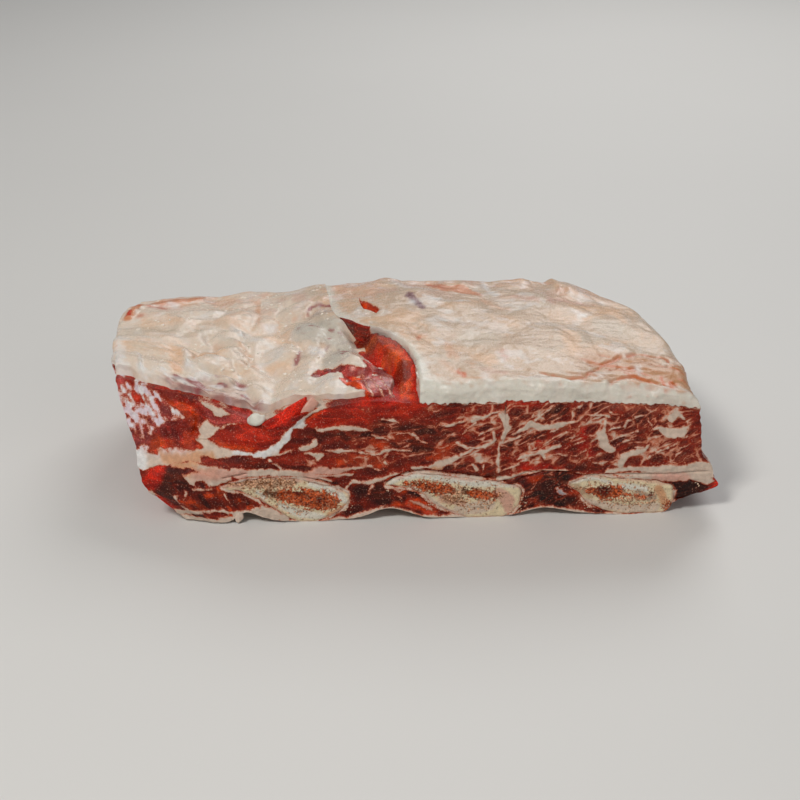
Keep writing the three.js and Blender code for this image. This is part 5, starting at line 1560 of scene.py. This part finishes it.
# Each flap's path is x, how far it stands out, height and half width.
flaps = {
    "redFlap": {"slot": "lean", "flat": 0.55, "tint": "scarlet", "fat": -1.5, "path": [
        (-54.5, -0.6, 40.2, 0.5), (-51, 0.4, 41.6, 1.9), (-47, 0.8, 43.6, 2.8), (-43.4, 0.9, 46.4, 2.9),
        (-40, 0.6, 49.2, 2.3), (-37.4, -0.2, 51.6, 1.5), (-36, -1.2, 53, 0.5)]},
    "fatPearl": {"slot": "fat", "flat": 0.7, "tint": "chalk", "fat": 3, "path": [
        (-58.4, -0.4, 41.4, 0.6), (-57, 0.5, 42.6, 2), (-55, 0.8, 43.6, 2.6), (-53.2, 0.3, 44.4, 1.9),
        (-52, -0.4, 45.2, 0.5)]},
    "cordOfFat": {"slot": "fat", "flat": 0.6, "tint": "pinkFat", "fat": 3, "path": [
        (-42, -0.8, 42, 0.5), (-39.8, -0.2, 44.4, 1.3), (-37.4, -0.1, 47, 1.7), (-35, -0.3, 49.4, 2.2),
        (-32.6, -1.4, 51.8, 1.8)]},
    "skinTag": {"slot": "fat", "flat": 0.6, "tint": "cream", "fat": 3, "path": [
        (-71, -0.3, 4.4, 0.8), (-73.6, 0.3, 3, 1.6), (-76, 0.4, 1.7, 1.2), (-77.6, 0.2, 0.7, 0.5)]},
}


def flapPiece(name, flap):
    x, out, z, wide = np.array(flap["path"]).T
    along = np.linspace(0, len(x) - 1, 9 * len(x))
    knots = np.arange(len(x))
    x, out, z, wide = [lineThrough(*zip(knots, v))(along) for v in (x, out, z, wide)]
    points = place(acrossBack(x), 0 * x, z)
    points[:, 1] -= out
    mesh = bpy.data.meshes.new(name)
    mesh.from_pydata(toFrame(points).tolist(), [(i, i + 1) for i in range(len(x) - 1)], [])
    setAttributes(mesh, {"wide": wide / 1000})
    piece = addPiece(name, mesh)
    mesh = bake(piece, flapSweep, {"Sides": 36, "Finish": leanFinish if flap["slot"] == "lean" else capFinish})
    skin = pointsOf(mesh)
    spine = np.interp(skin[:, 0], *(v[np.argsort(points[:, 0])] for v in points[:, :2].T))
    skin[:, 1] = spine + (skin[:, 1] - spine) * flap["flat"]
    skin += 0.4 * np.stack([lumpy(skin, 2.6, seed) for seed in (54, 55, 56)], -1)
    skin[:, 2] = np.maximum(skin[:, 2], 0.1)
    fat = flap["fat"] + 1.6 * lumpy(skin, 3, 57)
    bundle = np.stack([skin[:, 0] / 9, (skin[:, 2] - skin[:, 0]) / 4, skin[:, 1] / 14], -1)
    tints = [tinted(key, len(skin)) for key in (flap["tint"], "cream")]
    if flap["slot"] == "fat":
        tints.reverse()
    setAttributes(mesh, {"fat": fat, "web": np.full(len(skin), -1.0), "bundle": bundle, "leanTint": tints[0],
                         "paleTint": tints[1]})
    movePoints(mesh, skin)
    return piece


# Crumbs to a square metre, and the smallest and largest half size.
crumbs = {
    "boneDust": {"slot": "bone", "density": 9.0e5, "seed": 3, "size": (0.12, 0.34), "colour": (214, 180, 150)},
    "fatCrumbs": {"slot": "fat", "density": 4.0e4, "seed": 8, "size": (0.3, 0.8), "colour": (232, 218, 204)},
}


def crumbPiece(name, points, squares, thick):
    look = crumbs[name]
    material, do = desk(name + "Finish")
    do.coat({"Base Color": rgba(look["colour"]), "Roughness": 0.3, "Subsurface Weight": 0.15,
             "Subsurface Radius": (1.0, 0.6, 0.4), "Subsurface Scale": 0.001})
    piece = makeMesh(name, points, squares, {"thick": thick}, material)
    smallest, largest = look["size"]
    mesh = bake(piece, crumbScatter, {"Density": look["density"], "Seed": look["seed"], "Finish": material,
                                      "Smallest": smallest / 1000, "Largest": largest / 1000})
    print(name, len(mesh.polygons), "faces")
    return piece


def gridOver(low, high, columns, rows):  # a flat grid's places and squares
    u, v = np.meshgrid(np.linspace(low[0], high[0], columns + 1), np.linspace(low[1], high[1], rows + 1),
                       indexing="ij")
    number = np.arange(u.size).reshape(u.shape)
    ring = [number[:-1, :-1], number[1:, :-1], number[1:, 1:], number[:-1, 1:]]
    return u.ravel(), v.ravel(), np.stack(ring, -1).reshape(-1, 4)


def dustBed():  # the sawn face, dusty along the edges of the bones
    x, z, squares = gridOver((-70, 2), (108, 19), 220, 24)
    points = place(acrossBack(x), 0 * x, z)
    points[:, 1] -= 0.25
    bone = inBones(x, 0 * x, z)
    points[:, 1] = np.where(bone > 0, rack["front"] - 0.2, points[:, 1])
    thick = hump(bone, -0.8, 1.6) * smooth(12, 4, z) + 0.35 * hump(bone, -0.5, 1.2)
    return points, squares, thick * smooth(-0.2, 0.3, lumpy(points, 5, 58))


def crumbBed():  # the upper side of the left sheet
    mesh = leftFat.data
    points = pointsOf(mesh)
    squares = np.empty(len(mesh.loops), np.int32)
    mesh.loops.foreach_get("vertex_index", squares)
    normals = np.empty(len(mesh.polygons) * 3, np.float32)
    mesh.polygons.foreach_get("normal", normals)
    squares = squares.reshape(-1, 4)[normals.reshape(-1, 3)[:, 2] > 0.6]
    heap = 2 * hump(points[:, 0], -101, 4) * hump(points[:, 1], -66, 8)
    return points, squares, smooth(0, 0.5, lumpy(points, 7, 59)) + heap


beds = {"boneDust": dustBed, "fatCrumbs": crumbBed}
looseBits = [(flapPiece(name, flap), flap["slot"]) for name, flap in flaps.items()]
looseBits += [(crumbPiece(name, *bed()), crumbs[name]["slot"]) for name, bed in beds.items()]
print("loose bits made")

# The table and the light.
studio = {
    "table": (214, 212, 208), "tableDull": (209, 207, 203), "tableHalf": 4,
    "sky": 0.2, "skyColour": (0.95, 0.97, 1, 1),
    "aim": (0, 0, 0.03),
    "lamps": {  # where, power, size and colour
        "keyLamp": ((-0.6, -0.75, 1.1), 12.0, 0.3, (1, 0.985, 0.96)),
        "fillLamp": ((0.9, -1.1, 0.6), 3.4, 1.1, (1, 0.98, 0.96)),
        "rimLamp": ((0.35, 1.0, 0.9), 7.0, 0.7, (1, 1, 1)),
    },
}


def makeTable():
    far = studio["tableHalf"]
    mesh = bpy.data.meshes.new("table")
    mesh.from_pydata([(-far, -far, 0), (far, -far, 0), (far, far, 0), (-far, far, 0)], [], [(0, 1, 2, 3)])
    material, do = desk("tablePaint")
    blotch = do.noise(do.put("TexCoord").outputs["Object"], 3.0, 3)
    colour = do.blend(blotch, rgba(studio["table"]), rgba(studio["tableDull"]))
    do.coat({"Base Color": colour, "Roughness": 0.6})
    mesh.materials.append(material)
    addPiece("table", mesh)


def makeLamp(name, where, power, size, colour):
    lamp = addPiece(name, bpy.data.lights.new(name, "AREA"))
    lamp.data.energy = power
    lamp.data.size = size
    lamp.data.color = colour
    lamp.location = where
    lamp.rotation_euler = (Vector(studio["aim"]) - Vector(where)).to_track_quat("-Z", "Y").to_euler()


def makeSky():
    world = bpy.data.worlds.new("studio")
    world.use_nodes = True
    background = world.node_tree.nodes["Background"].inputs
    background["Color"].default_value = studio["skyColour"]
    background["Strength"].default_value = studio["sky"]
    bpy.context.scene.world = world


makeTable()
for name, lamp in studio["lamps"].items():
    makeLamp(name, *lamp)
makeSky()
bpy.context.scene.view_settings.view_transform = "Standard"
print("light made")

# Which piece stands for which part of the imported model.
stands = [
    (leanMeat, "lean", ["lean_meat"]),
    (upperMuscle, "lean", ["upper_muscle"]),
    (seamFat, "fat", ["seam_fat"]),
    (ribMeat, "rib_meat", ["rib_meat_1", "rib_meat_2", "rib_meat_3", "rib_meat_4"]),
    (leftFat, "fat", ["fat_cap_left"]),
    (rightFat, "fat", ["fat_cap_right"]),
]
for side, (bone, core) in ribPieces.items():
    stands.append((bone, "bone", ["rib_" + side]))
    stands.append((core, "marrow", ["marrow_" + side]))
for piece, slot, nodes in stands:
    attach(piece, "root")
    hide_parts(*nodes)

for piece, slot in looseBits:
    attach(piece, "root")
